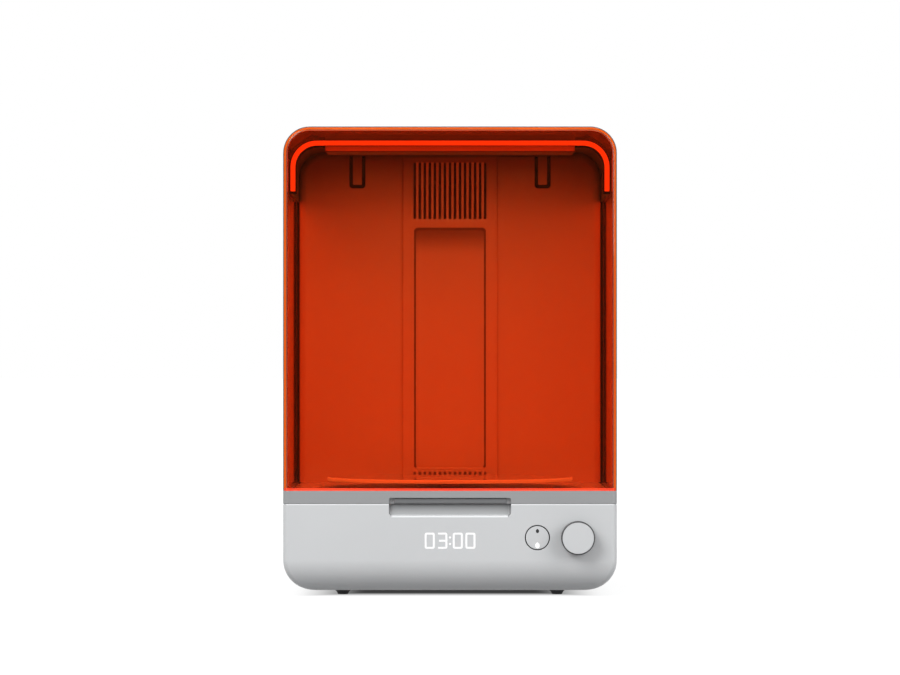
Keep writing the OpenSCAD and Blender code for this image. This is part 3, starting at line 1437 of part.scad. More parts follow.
module lamp_wiring() {
    n = 10;
    rings = [for (i = [0:len(wire_route) - 1]) let (d = route_dir(wire_route, i), u = ring_side(d),
        v = cross(d, u))
        [for (k = [0:n - 1]) wire_route[i] + wire_d / 2 * (cos(k * 360 / n) * u + sin(k * 360 / n) * v)]];
    points = [for (ring = rings) each ring];
    last = (len(rings) - 1) * n;
    color([0.1, 0.1, 0.1]) placed() polyhedron(points, concat(
        [[for (k = [n - 1:-1:0]) k]],
        [for (i = [0:len(rings) - 2], k = [0:n - 1]) let (a = i * n + k, b = i * n + (k + 1) % n) [a, b,
            b + n]],
        [for (i = [0:len(rings) - 2], k = [0:n - 1]) let (a = i * n + k, b = i * n + (k + 1) % n) [a,
            b + n, a + n]],
        [[for (k = [0:n - 1]) last + k]]));
}

base_shell();
bottom_plate();
rubber_feet();
plate_screws();
dial_knob();
dial_shaft();
dial_encoder();
start_button();
switch_plunger();
button_switch();
status_light();
display_module();
display_digits();
control_board();
board_screws();
power_supply();
power_inlet();
rocker_frame();
power_rocker();
cooling_fan_frame();
cooling_fan_rotor();
drive_plate();
drive_screws();
bearing_housing();
spindle_bearings();
spindle();
spindle_gear();
drive_motor();
motor_shaft();
motor_pinion();
turntable_hub();
turntable();
chamber_floor();
floor_windows();
floor_lamps();
deck_screws();
hood_bumpers();
hood_sensor();
hood_magnet();
hood_shell();
hood_frame();
grip_pad();
hood_hinge_leaves();
housing_hinge_leaves();
hinge_pins();
rear_housing();
rear_bulkhead();
bulkhead_screws();
back_liner();
air_column();
air_duct();
air_heater();
blower_frame();
blower_rotor();
lamp_driver();
canopy();
light_arch();
lamp_unit();
lamp_diffuser();
lamp_wiring();
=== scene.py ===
import json
import math

import bmesh
import bpy
from mathutils import Matrix, Vector

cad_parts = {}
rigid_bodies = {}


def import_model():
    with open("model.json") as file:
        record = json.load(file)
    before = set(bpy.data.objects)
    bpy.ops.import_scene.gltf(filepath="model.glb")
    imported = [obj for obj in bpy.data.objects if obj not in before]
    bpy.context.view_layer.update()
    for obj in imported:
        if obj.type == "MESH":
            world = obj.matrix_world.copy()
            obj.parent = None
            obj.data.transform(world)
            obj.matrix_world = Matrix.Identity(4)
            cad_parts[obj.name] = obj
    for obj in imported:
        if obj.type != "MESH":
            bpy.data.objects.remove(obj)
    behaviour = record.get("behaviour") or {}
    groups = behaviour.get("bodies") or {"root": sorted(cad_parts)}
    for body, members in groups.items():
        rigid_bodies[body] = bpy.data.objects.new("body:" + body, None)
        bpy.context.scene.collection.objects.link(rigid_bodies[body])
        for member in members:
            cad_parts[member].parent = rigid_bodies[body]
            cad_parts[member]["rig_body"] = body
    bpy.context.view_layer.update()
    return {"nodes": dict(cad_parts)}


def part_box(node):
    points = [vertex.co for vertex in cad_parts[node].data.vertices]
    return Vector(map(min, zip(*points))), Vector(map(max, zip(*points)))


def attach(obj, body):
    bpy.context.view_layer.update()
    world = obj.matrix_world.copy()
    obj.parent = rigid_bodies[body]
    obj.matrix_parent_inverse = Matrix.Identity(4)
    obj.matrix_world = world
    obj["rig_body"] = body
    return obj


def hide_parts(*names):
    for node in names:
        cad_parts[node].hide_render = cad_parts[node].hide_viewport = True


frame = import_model()
node = frame["nodes"]


# Base moulding: one injection-moulded ABS shell, open underneath, with a fine spark-eroded grain.
# Everything fixed is screwed or snapped to it. Sizes are millimetres behind its front face and above
# the ground, and each finished mesh is turned into metres.
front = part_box("base_shell")[0][1]
half, depth, foot, top, wall = 138.0, 296.0, 4.5, 76.5, 3.0
to_metres = Matrix.Translation((0, front, 0)) @ Matrix.Scale(0.001, 4)
control_z, dial_x, button_x = 49.0, 105.6, 72.2
panel_z, inlet_x, rocker_x, fan_x = 50.5, -80.0, -36.0, 75.0
table_y, lamp_x = 120.4, 98.5


def rounded(x0, y0, x1, y1, radii, steps=8):
    """Points round a rectangle, anticlockwise, with a radius for each corner from bottom left."""
    points = []
    for (x, y, start), r in zip(((x0, y0, 180), (x1, y0, 270), (x1, y1, 0), (x0, y1, 90)), radii):
        r = max(r, 1e-5)
        cx = x + r if x == x0 else x - r
        cy = y + r if y == y0 else y - r
        for i in range(steps + 1):
            a = math.radians(start + 90 * i / steps)
            points.append((cx + r * math.cos(a), cy + r * math.sin(a)))
    return points


def circle(r, x=0.0, y=0.0, steps=64):
    return [(x + r * math.cos(2 * math.pi * i / steps), y + r * math.sin(2 * math.pi * i / steps))
            for i in range(steps)]


def quarter(steps):
    """A quarter-round from its tip to its side, as shares of its radius across and along."""
    turns = [math.radians(90 * i / steps) for i in range(steps + 1)]
    return [(1 - math.sin(a), 1 - math.cos(a)) for a in turns]


def in_scene(name, data):
    ob = bpy.data.objects.new(name, data)
    bpy.context.collection.objects.link(ob)
    return ob


def piece(name, bm, place=to_metres):
    """Closes a mesh, turns its faces outwards and puts it in the scene."""
    bmesh.ops.remove_doubles(bm, verts=bm.verts, dist=0.002)
    bmesh.ops.recalc_face_normals(bm, faces=bm.faces)
    bm.transform(place)
    mesh = bpy.data.meshes.new(name)
    bm.to_mesh(mesh)
    bm.free()
    mesh.shade_smooth()
    return in_scene(name, mesh)


def loft(name, rings, closed=False, place=to_metres):
    """Skin over rings of equal count, with flat ends, or joined end to end."""
    bm = bmesh.new()
    loops = [[bm.verts.new(p) for p in ring] for ring in rings]
    pairs = list(zip(loops, loops[1:])) + ([(loops[-1], loops[0])] if closed else [])
    for a, b in pairs:
        for i in range(len(a)):
            j = (i + 1) % len(a)
            bm.faces.new((a[i], a[j], b[j], b[i]))
    if not closed:
        bm.faces.new(loops[0][::-1])
        bm.faces.new(loops[-1])
    return piece(name, bm, place)


def along(axis, outline, w):
    """A flat outline as a ring across the x, y or z axis."""
    if axis == "x":
        return [(w, u, v) for u, v in outline]
    return [(u, w, v) for u, v in outline] if axis == "y" else [(u, v, w) for u, v in outline]


def prism(name, axis, outline, a, b, place=to_metres):
    return loft(name, [along(axis, outline, a), along(axis, outline, b)], place=place)


def turned(name, axis, centre, profile, steps=64, closed=False, place=to_metres, flutes=0, flute=0.0):
    """Lathe work: (radius, height) points spun round an axis, with shallow flutes where asked."""
    rings = []
    for r, w in profile:
        ring = []
        for i in range(steps):
            a = 2 * math.pi * i / steps
            q = r - (flute * (0.5 + 0.5 * math.cos(flutes * a)) if flutes and r > 13.9 else 0)
            ring.append((centre[0] + q * math.cos(a), centre[1] + q * math.sin(a)))
        rings.append(along(axis, ring, w))
    return loft(name, rings, closed, place)


def settle(ob):
    mesh = bpy.data.meshes.new_from_object(ob.evaluated_get(bpy.context.evaluated_depsgraph_get()))
    ob.modifiers.clear()
    ob.data = mesh
    return ob


def shape(ob, *tools, mode="DIFFERENCE"):
    """Machines a piece with others, which are used up."""
    for tool in tools:
        step = ob.modifiers.new("machined", "BOOLEAN")
        step.object, step.operation, step.solver = tool, mode, "EXACT"
    settle(ob)
    for tool in tools:
        bpy.data.objects.remove(tool)
    return ob


def flatten(ob):
    """Lets the wide faces keep their own flat shading beside a rounding."""
    step = ob.modifiers.new("flat_faces", "WEIGHTED_NORMAL")
    step.keep_sharp, step.weight = True, 80
    return settle(ob)


def soften(ob, width=0.5, limit=30, segments=2, clamp=False):
    step = ob.modifiers.new("edges", "BEVEL")
    step.width, step.segments = width * 0.001, segments
    step.limit_method, step.angle_limit = "ANGLE", math.radians(limit)
    step.use_clamp_overlap = clamp
    return flatten(ob)


def new_tree(name, kind, ins, outs):
    """An empty node group with its sockets, then its nodes, link call, input and output."""
    tree = bpy.data.node_groups.new(name, kind + "NodeTree")
    for label, socket, value in ins:
        made = tree.interface.new_socket(label, in_out="INPUT", socket_type="NodeSocket" + socket)
        if value is not None:
            made.default_value = value
    for label, socket in outs:
        tree.interface.new_socket(label, in_out="OUTPUT", socket_type="NodeSocket" + socket)
    n = tree.nodes
    return tree, n, tree.links.new, n.new("NodeGroupInput"), n.new("NodeGroupOutput")


def hand_out(n, link, given, out, spread):
    """Makes copies into one mesh with a finish, and hands it out."""
    solid, paint = n.new("GeometryNodeRealizeInstances"), n.new("GeometryNodeSetMaterial")
    link(spread.outputs["Instances"], solid.inputs["Geometry"])
    link(solid.outputs["Geometry"], paint.inputs["Geometry"])
    link(given.outputs["Finish"], paint.inputs["Material"])
    link(paint.outputs["Geometry"], out.inputs[0])


def row_tree():
    """Repeats a part at even steps."""
    tree, n, link, given, out = new_tree("row_of_parts", "Geometry", (
        ("Part", "Geometry", None), ("Count", "Int", 5), ("Step", "Vector", (0.004, 0, 0)),
        ("Finish", "Material", None)), (("Row", "Geometry"),))
    line, spread = n.new("GeometryNodeMeshLine"), n.new("GeometryNodeInstanceOnPoints")
    link(given.outputs["Count"], line.inputs["Count"])
    link(given.outputs["Step"], line.inputs["Offset"])
    link(line.outputs["Mesh"], spread.inputs["Points"])
    link(given.outputs["Part"], spread.inputs["Instance"])
    hand_out(n, link, given, out, spread)
    return tree


row_of_parts = row_tree()


def run_tree(ob, tree, values):
    """Gives a Geometry Nodes tree its inputs by identifier, and keeps the plain mesh that it makes."""
    step = ob.modifiers.new("made_by_nodes", "NODES")
    step.node_group = tree
    sockets = {s.name: s.identifier for s in tree.interface.items_tree if s.in_out == "INPUT"}
    for name, value in values.items():
        step[sockets[name]] = value
    return settle(ob)


def in_row(part, count, step, finish=None):
    step = [length * 0.001 for length in step]
    return run_tree(part, row_of_parts, {"Count": count, "Step": step, "Finish": finish})


def give(step, values):
    """Sets a node's inputs by name, with full opacity where a value is a colour."""
    for name, value in values.items():
        step.inputs[name].default_value = (*value, 1.0) if isinstance(value, tuple) else value


def maths(n, operation, *numbers):
    """A sum on shader values, with fixed numbers in its second and third places."""
    step = n.new("ShaderNodeMath")
    step.operation = operation
    for socket, number in zip(step.inputs[1:], numbers):
        socket.default_value = number
    return step


def grain_group():
    """Grain, faint clouding and uneven gloss of a moulded or painted surface."""
    tree, n, link, given, out = new_tree("moulded_grain", "Shader", (
        ("Paint", "Color", (0.6, 0.6, 0.6, 1)), ("Rough", "Float", 0.5), ("Grain", "Float", 2600.0),
        ("Cloud", "Float", 14.0), ("Mottle", "Float", 0.04)),
        (("Color", "Color"), ("Roughness", "Float"), ("Height", "Float")))
    place = n.new("ShaderNodeTexCoord")
    fine, cloud = n.new("ShaderNodeTexNoise"), n.new("ShaderNodeTexNoise")
    for tex, size, detail in ((fine, "Grain", 3.0), (cloud, "Cloud", 4.0)):
        tex.inputs["Detail"].default_value = detail
        link(place.outputs["Object"], tex.inputs["Vector"])
        link(given.outputs[size], tex.inputs["Scale"])
    tone, shift = maths(n, "MULTIPLY_ADD", 2.0, -1.0), maths(n, "MULTIPLY")
    link(cloud.outputs["Fac"], tone.inputs[0])
    link(tone.outputs[0], shift.inputs[0])
    link(given.outputs["Mottle"], shift.inputs[1])
    gain, tint = maths(n, "ADD", 1.0), n.new("ShaderNodeVectorMath")
    tint.operation = "SCALE"
    link(shift.outputs[0], gain.inputs[0])
    link(given.outputs["Paint"], tint.inputs[0])
    link(gain.outputs[0], tint.inputs["Scale"])
    link(tint.outputs["Vector"], out.inputs["Color"])
    worn = maths(n, "MULTIPLY_ADD", 1.6)
    link(shift.outputs[0], worn.inputs[0])
    link(given.outputs["Rough"], worn.inputs[2])
    link(worn.outputs[0], out.inputs["Roughness"])
    link(fine.outputs["Fac"], out.inputs["Height"])
    return tree


moulded_grain = grain_group()


def painted_shade_group():
    """Painted shade: a colour that turns darker with height, standing for the shade under a lip or canopy.
    """
    tree, n, link, given, out = new_tree("painted_shade_by_height", "Shader", (
        ("Paint", "Color", (0.6, 0.6, 0.6, 1)), ("Deep", "Color", (0.2, 0.2, 0.2, 1)),
        ("From", "Float", 0.0), ("To", "Float", 0.01)), (("Color", "Color"),))
    place, split = n.new("ShaderNodeTexCoord"), n.new("ShaderNodeSeparateXYZ")
    reach, mix = n.new("ShaderNodeMapRange"), n.new("ShaderNodeMix")
    reach.interpolation_type, mix.data_type = "SMOOTHSTEP", "RGBA"
    link(place.outputs["Object"], split.inputs[0])
    link(split.outputs["Z"], reach.inputs["Value"])
    link(given.outputs["From"], reach.inputs["From Min"])
    link(given.outputs["To"], reach.inputs["From Max"])
    link(reach.outputs["Result"], mix.inputs["Factor"])
    link(given.outputs["Paint"], mix.inputs[6])
    link(given.outputs["Deep"], mix.inputs[7])
    link(mix.outputs[2], out.inputs["Color"])
    return tree


painted_shade_by_height = painted_shade_group()


def new_finish(name):
    mat = bpy.data.materials.new(name)
    mat.use_nodes = True
    n = mat.node_tree.nodes
    return mat, n, mat.node_tree.links.new, n["Principled BSDF"]


def group(n, tree, **values):
    """Places a node group in a material with its own values."""
    look = n.new("ShaderNodeGroup")
    look.node_tree = tree
    give(look, values)
    return look


def raise_grain(n, link, height, shader, strength, distance):
    bump = n.new("ShaderNodeBump")
    give(bump, {"Strength": strength, "Distance": distance})
    link(height, bump.inputs["Height"])
    link(bump.outputs["Normal"], shader.inputs["Normal"])


def moulded(name, paint, rough=0.5, grain=2600.0, depth=0.00003, mottle=0.03, metal=0.0, coat=0.0,
            painted_top_shade=None):
    mat, n, link, shader = new_finish(name)
    give(shader, {"Metallic": metal, "Coat Weight": coat})
    look = group(n, moulded_grain, Paint=paint, Rough=rough, Grain=grain, Mottle=mottle)
    # Painted shade: darkens the paint towards the top where a painted top shade is given.
    if painted_top_shade:
        fade = group(n, painted_shade_by_height, Paint=paint, Deep=painted_top_shade[0], From=painted_top_shade[1] * 0.001, To=painted_top_shade[2] * 0.001)
        link(fade.outputs["Color"], look.inputs["Paint"])
    link(look.outputs["Color"], shader.inputs["Base Color"])
    link(look.outputs["Roughness"], shader.inputs["Roughness"])
    raise_grain(n, link, look.outputs["Height"], shader, 0.35, depth)
    return mat


def fit(ob, finish, slot, body, *nodes):
    """Paints a piece and fixes it to a body in place of the plain parts; its slot is not used."""
    if finish:
        ob.data.materials.clear()
        ob.data.materials.append(finish)
    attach(ob, body)
    if nodes:
        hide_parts(*nodes)
    return ob


def also_finish(ob, finish, test):
    """Gives another finish to the faces whose middle, in millimetres, passes a test."""
    ob.data.materials.append(finish)
    for face in ob.data.polygons:
        c = face.center
        if test(c.x * 1000, (c.y - front) * 1000, c.z * 1000):
            face.material_index = len(ob.data.materials) - 1
    return ob


shell_grey = moulded("shell_grey", (0.625, 0.635, 0.64), rough=0.42, grain=2400.0)
# Painted shade: the scoop's finish is darker than the shell and darker still towards its top, standing for
# the shade under the hood frame.
scoop_painted_shade = moulded("scoop_painted_shade", (0.39, 0.395, 0.40), rough=0.5, grain=2400.0,
                     painted_top_shade=((0.17, 0.173, 0.177), 67.5, 76.5))
# Painted highlight: a lighter paint on the base's top edge rounding and on the scoop's lower lip.
edge_painted_highlight = moulded("edge_painted_highlight", (0.86, 0.87, 0.88), rough=0.25, grain=2400.0)
scoop_y, scoop_z, scoop_r, scoop_half, scoop_low = -9.57, top + 0.7, 14.0, 50.4, 67.0


def base_rings(inset, high, edge, lip=0.0, r=26.0, corner=4.5):
    def plan(d, z):
        return along("z", rounded(-half + d, d, half - d, depth - d, [max(corner - inset, 1.2)] * 4), z)
    low = r - inset
    rings = [plan(inset + low * across, foot + inset + low * up) for across, up in quarter(20)]
    rings += [plan(inset + edge * up, high + lip - edge * across) for across, up in quarter(4)]
    if lip:
        rings += [plan(3.2, high + lip), plan(3.3, high)]
    return rings


def scoop_lip():
    """The rounding of the scoop's lower edge, as a cutter."""
    r = 3.0
    low = scoop_z - math.sqrt((scoop_r + r) ** 2 - (r - scoop_y) ** 2)
    end = math.atan2(scoop_z - low, scoop_y - r)
    arc = [math.pi + (end - math.pi) * i / 6 for i in range(7)]
    outline = [(-2, low)] + [(r + r * math.cos(a), low + r * math.sin(a)) for a in arc]
    outline += [(-2, low + 4)]
    return prism("scoop_lip", "x", outline, 2 - scoop_half, scoop_half - 2)


def upright(name, x0, z0, x1, z1, r, y0, y1, steps=8):
    """A bar from front to back with one radius, or a radius for each corner."""
    radii = r if isinstance(r, list) else [r] * 4
    return prism(name, "y", rounded(x0, z0, x1, z1, radii, steps), y0, y1)


def base_moulding():
    hollow = loft("hollow", base_rings(wall, top - wall, 0.3))
    cove = circle(scoop_r + wall, scoop_y, scoop_z, 96)
    shape(hollow, prism("cove", "x", cove, -scoop_half - wall, scoop_half + wall))
    scoop = prism("scoop", "x", circle(scoop_r, scoop_y, scoop_z, 120), -scoop_half, scoop_half)
    mouth = upright("mouth", -scoop_half, scoop_low, scoop_half, 84, [2.6, 2.6, 0, 0], -8, 20)
    shape(scoop, mouth, mode="INTERSECT")
    inside, outside = depth - 6, depth + 2
    cuts = [
        hollow, scoop, scoop_lip(),
        prism("button_hole", "y", circle(10.4, button_x, control_z), -1, 5),
        prism("dial_hole", "y", circle(4, dial_x, control_z, 32), -1, 5),
        upright("inlet_hole", inlet_x - 23.8, panel_z - 13.6, inlet_x + 23.8, panel_z + 13.6, 1,
                inside, outside),
        upright("rocker_hole", rocker_x - 8.8, panel_z - 12.1, rocker_x + 8.8, panel_z + 12.1, 1,
                inside, outside),
        prism("plate_seat", "z", rounded(-108.3, 29.7, 108.3, 266.3, [0.5] * 4), 0, 6.5),
        prism("underside", "z", rounded(-102, 36, 102, 260, [0.5] * 4), 0, 9),
        prism("neck_hole", "z", circle(10, 0, table_y, 48), 70, 80),
        prism("wire_hole", "z", circle(5, 49, 272, 24), 70, 80),
    ]
    slot = upright("vent", fan_x - 17, panel_z - 15, fan_x - 15, panel_z + 15, 0.95, inside, outside)
    cuts.append(in_row(slot, 9, (4, 0, 0)))
    lamp_hole = prism("lamp_hole", "z", circle(4, -lamp_x, 142, 24), 70, 80)
    cuts.append(in_row(lamp_hole, 2, (2 * lamp_x, 0, 0)))
    base = shape(loft("base_moulding", base_rings(0, top, 0.9, lip=0.34)), *cuts)
    return soften(base, 0.4)


def in_scoop(x, y, z):
    off = math.hypot(y - scoop_y, z - scoop_z) - scoop_r
    if abs(x) > scoop_half + 0.2 or z < scoop_low + 0.4 or y > 4.6:
        return False
    return abs(off) < 0.06 or (abs(x) > 48 and y > 0.3 and off < 0.06)


def top_edge(x, y, z):
    return 75.95 < z < 76.8 and (abs(x) > half - 0.8 or y < 0.8)


def scoop_edge(x, y, z):
    return 65.2 < z < 67.9 and abs(x) < scoop_half + 0.2 and 0.01 < y < 0.9


base = fit(base_moulding(), shell_grey, "shell_grey", "unit", "base_shell")
also_finish(base, scoop_painted_shade, in_scoop)
# Painted highlight on the top edge rounding and the scoop's lower lip.
also_finish(base, edge_painted_highlight, top_edge)
also_finish(base, edge_painted_highlight, scoop_edge)


# Feet, seal and bottom plate: four soft black feet pressed into a stamped zinc-plated steel plate, which
# is held in the flat of the underside by eight flush screws. A dark strip on the base stands just behind
# the closed hood's front edge.
def set_tree():
    """Puts a copy of a part, turned the same way, on each point of a set."""
    tree, n, link, given, out = new_tree("set_of_parts", "Geometry", (
        ("Places", "Geometry", None), ("Part", "Object", None), ("Turn", "Vector", (0, 0, 0)),
        ("Finish", "Material", None)), (("Set", "Geometry"),))
    part, spread = n.new("GeometryNodeObjectInfo"), n.new("GeometryNodeInstanceOnPoints")
    turn = n.new("FunctionNodeEulerToRotation")
    link(given.outputs["Part"], part.inputs["Object"])
    link(given.outputs["Turn"], turn.inputs["Euler"])
    link(given.outputs["Places"], spread.inputs["Points"])
    link(part.outputs["Geometry"], spread.inputs["Instance"])
    link(turn.outputs["Rotation"], spread.inputs["Rotation"])
    hand_out(n, link, given, out, spread)
    return tree


set_of_parts = set_tree()
from_middle = Matrix.Scale(0.001, 4)


def at_spots(name, part, spots, finish, turn=(0, 0, 0)):
    mesh = bpy.data.meshes.new(name)
    mesh.from_pydata([to_metres @ Vector(p) for p in spots], [], [])
    turn = [math.radians(t) for t in turn]
    return run_tree(in_scene(name, mesh), set_of_parts, {"Part": part, "Turn": turn, "Finish": finish})


def crisp(ob, angle=35):
    ob.data.set_sharp_from_angle(angle=math.radians(angle))
    return flatten(ob)


def screw_part(name, head, reach, low, high):
    """Screw with a cross recess, head down and shank up."""
    body = turned(name, "z", (0, 0), head + ((1.45, 7.4), (1.0, 8), (0, 8)), 24, place=from_middle)
    bars = [prism("bar", "z", rounded(-u, -v, u, v, [0.2] * 4, 2), low, high, from_middle)
            for u, v in ((reach, 0.4), (0.4, reach))]
    return crisp(shape(body, *bars))


pan_head = ((0, -2), (1.5, -2), (2.3, -1.75), (2.8, -1.1), (2.8, 0), (1.45, 0))
screw = screw_part("screw", pan_head, 1.6, -3, -0.9)
plated = moulded("plated_steel", (0.58, 0.59, 0.61), rough=0.34, grain=700.0, mottle=0.05, metal=1.0)
rubber = moulded("dark_rubber", (0.035, 0.036, 0.038), rough=0.62, grain=1800.0, mottle=0.08)

seal = prism("light_seal", "x", rounded(5.5, top - 0.5, 7.0, top + 2.6, [0, 0, 0.7, 0.7], 4), -131, 131)
fit(soften(seal, 0.1), rubber, "rubber_dark", "unit")
foot_x, foot_ys = 89.5, (48, 248)
foot_part = turned("foot", "z", (0, 0), (
    (0, 0), (3.9, 0), (4.4, 0.4), (4.8, 1.4), (5.4, 2.4), (6.3, 3.2), (7.4, 3.8), (8.4, 4.1), (8.6, 4.5),
    (2.9, 4.5), (2.9, 6.6), (4.0, 6.6), (2.4, 9.1), (0, 9.1)), 40, place=from_middle)
foot_spots = [(x, y, 0) for x in (-foot_x, foot_x) for y in foot_ys]
feet = at_spots("feet", crisp(foot_part, 50), foot_spots, rubber)
fit(feet, None, "rubber_dark", "unit", "rubber_feet")
bpy.data.objects.remove(foot_part)


plate_spots = [(x, y, foot) for x in (-104.5, 104.5) for y in (45, 148, 251)]
plate_spots += [(0, y, foot) for y in (33.5, 262.5)]
black_oxide = moulded("black_oxide", (0.03, 0.03, 0.032), rough=0.38, grain=700.0, mottle=0.1, metal=0.8)


def used(tool, made_from):
    bpy.data.objects.remove(made_from)
    return tool


def bottom_sheet():
    sheet = prism("bottom_sheet", "z", rounded(-108, 30, 108, 266, [1.5] * 4), foot, foot + 2)
    slot = prism("slot", "z", rounded(-30, 58.75, 30, 61.25, [1.2] * 4, 4), 0, 9)
    hole = prism("hole", "z", circle(3, -foot_x, foot_ys[0], 24), 0, 9)
    sink = ((0, -1), (3.1, -1), (3.1, 0.05), (1.75, 1.35), (1.75, 3), (0, 3))
    sink = turned("sink", "z", (0, 0), sink, 24, place=from_middle)
    sinks = used(at_spots("sinks", sink, plate_spots, None), sink)
    holes = in_row(in_row(hole, 2, (2 * foot_x, 0, 0)), 2, (0, foot_ys[1] - foot_ys[0], 0))
    return soften(shape(sheet, in_row(slot, 9, (0, 6, 0)), holes, sinks), 0.25)


fit(bottom_sheet(), plated, "steel", "unit", "bottom_plate")
flat_head = ((0, 0.05), (2.7, 0.05), (2.8, 0.15), (1.45, 1.3))
flat_screw = screw_part("flat_screw", flat_head, 1.5, -1, 0.8)
fixings = used(at_spots("plate_fixings", flat_screw, plate_spots, black_oxide), flat_screw)
fit(fixings, None, "steel", "unit", "plate_screws")


# Dial: a dark fluted grip ring with a pale cap pressed into its face. It sits on a flatted steel
# shaft, turns without end and clicks when it is pressed.
dial_ring = moulded("dial_ring", (0.045, 0.046, 0.048), rough=0.45, grain=1500.0, mottle=0.08)
knob = turned("dial_knob_ring", "y", (dial_x, control_z), (
    (5.5, -1.2), (5.5, -2.6), (12.6, -2.6), (12.6, -1.2), (13.6, -1.2), (14.0, -1.6), (14.0, -2.0),
    (14.0, -10.8), (14.0, -11.2), (13.8, -11.75), (13.3, -12.0), (13.1, -11.9), (13.1, -10.9), (0, -10.9),
    (0, -10.6), (3.1, -10.6), (3.1, -1.2)), 288, closed=True, flutes=72, flute=0.22)
fit(crisp(knob, 40), dial_ring, "shell_grey", "dial", "dial_knob")
cap = turned("dial_cap", "y", (dial_x, control_z), (
    (0, -10.9), (13.0, -10.9), (13.0, -11.55), (12.85, -11.8), (12.5, -11.9), (0, -11.9)), 96)
fit(crisp(cap, 40), shell_grey, "shell_grey", "dial")


# Button and lights: a pale cap in a round hole, with a black drop printed above its middle and a lit
# white drop below. The time glows through the thinned wall as four white figures and two dots.
def drop(x, z, w, h, y0, y1, name):
    """Drop outline with its point up, as a thin inlay across the front."""
    outline = []
    for i in range(32):
        a = 2 * math.pi * i / 32
        squeeze = 1 - 0.55 * max(0.0, math.sin(a)) ** 2
        outline.append((x + w / 2 * math.cos(a) * squeeze, z + h / 2 * math.sin(a)))
    return prism(name, "y", outline, y0, y1)


def glow(name, paint, power, base=(0.0, 0.0, 0.0)):
    mat, n, link, shader = new_finish(name)
    look = group(n, moulded_grain, Paint=paint, Rough=0.3, Mottle=0.02)
    link(look.outputs["Color"], shader.inputs["Emission Color"])
    link(look.outputs["Roughness"], shader.inputs["Roughness"])
    give(shader, {"Base Color": base, "Emission Strength": power})
    return mat


button = turned("button_cap", "y", (button_x, control_z), (
    (0, 2), (9.55, 2), (9.55, 0.1), (9.4, -0.2), (9.1, -0.3), (0, -0.3)), 96)
fit(crisp(button, 40), shell_grey, "shell_grey", "button", "start_button")
# Painted shade: the skirt showing in the gap round the cap is black, so the gap reads dark.
shade_skirt = turned("button_skirt", "y", (button_x, control_z), (
    (0, 2), (9.7, 2), (11.2, 3.4), (11.2, 4.4), (2.5, 4.4), (2.5, 7.6), (0, 7.6)), 64)
fit(crisp(shade_skirt, 40), rubber, "rubber_dark", "button")
mark_black = moulded("mark_black", (0.006, 0.006, 0.007), rough=0.5, grain=1500.0, mottle=0.1)
fit(drop(button_x, control_z + 5.6, 2.6, 3.6, -0.33, 0, "button_mark"), mark_black, "rubber_dark", "button")
lit_white = glow("lit_white", (1.0, 1.0, 1.0), 1.0)
light = drop(button_x, control_z - 6.3, 4.0, 5.0, -0.34, 0, "button_light")
fit(light, lit_white, "light_white", "button", "status_light")


def joined(name, parts):
    """Pieces that don't touch, as one."""
    bm = bmesh.new()
    for part in parts:
        bm.from_mesh(part.data)
        bpy.data.objects.remove(part)
    mesh = bpy.data.meshes.new(name)
    bm.to_mesh(mesh)
    bm.free()
    return in_scene(name, mesh)


def figures():
    mid, h, w, t = 46.5, 13.4, 8.4, 1.65
    face, back = -0.04, 0.5
    parts = []
    for right in (-12.56, 10.66, 21.06):
        outer = rounded(right - w, mid - h / 2, right, mid + h / 2, [1.7] * 4, 5)
        inner = rounded(right - w + t, mid - h / 2 + t, right - t, mid + h / 2 - t, [0.5] * 4, 5)
        rings = [along("y", outline, y) for outline, y in (
            (outer, face), (outer, back), (inner, back), (inner, face))]
        parts.append(loft("figure", rings, closed=True))
    right = -2.15
    three = upright("figure", right - t, mid - h / 2, right, mid + h / 2, [0.3, 1.7, 1.7, 0.3],
                    face, back, 5)
    bars = []
    for z0, left in ((mid - h / 2, 7.8), (mid - t / 2, 7.0), (mid + h / 2 - t, 7.8)):
        ends = [0.3, 1.6 if z0 < mid - 4 else 0.2, 1.6 if z0 > mid + 4 else 0.2, 0.3]
        bars.append(upright("bar", right - left, z0, right, z0 + t, ends, face, back, 5))
    parts.append(shape(three, *bars, mode="UNION"))
    dot = prism("figure", "y", circle(0.95, 0, mid - 2.68, 24), face, back)
    parts.append(in_row(dot, 2, (0, 0, 5.36)))
    return crisp(joined("time_figures", parts))


fit(figures(), lit_white, "light_white", "unit", "display_digits")


# Hood frame: a U-shaped ABS moulding in satin mid-grey round the hood's lower edge, grooved on top
# for the hood's tongue and notched at the front, over the scoop, with a dark rubber strip in the notch.
hood_z, band_top, hood_d, hood_top, hood_r = 76.9, 87.7, 247.0, 388.9, 22.0


def hood_plan(inset, y1, z):
    corner = max(4.0 - inset, 0.8)
    return along("z", rounded(-half + inset, inset, half - inset, y1, [corner, corner, 0, 0]), z)


def hood_frame():
    band = loft("hood_band", [hood_plan(inset, hood_d, z) for inset, z in (
        (0.4, hood_z), (0.12, hood_z + 0.12), (0, hood_z + 0.4), (0, band_top - 0.3), (0.3, band_top))])
    room = loft("room", [hood_plan(4.8, 260, z) for z in (hood_z - 2, band_top + 2)])
    groove = loft("groove", [hood_plan(1.4, 260, z) for z in (band_top - 4.1, band_top + 2)])
    shape(groove, loft("keep", [hood_plan(3.1, 270, z) for z in (band_top - 6, band_top + 3)]))
    notch = upright("notch", -scoop_half, hood_z - 3, scoop_half, hood_z + 5, [0, 0, 2, 2], -2, 3)
    return soften(shape(band, room, groove, notch), 0.35, clamp=True)


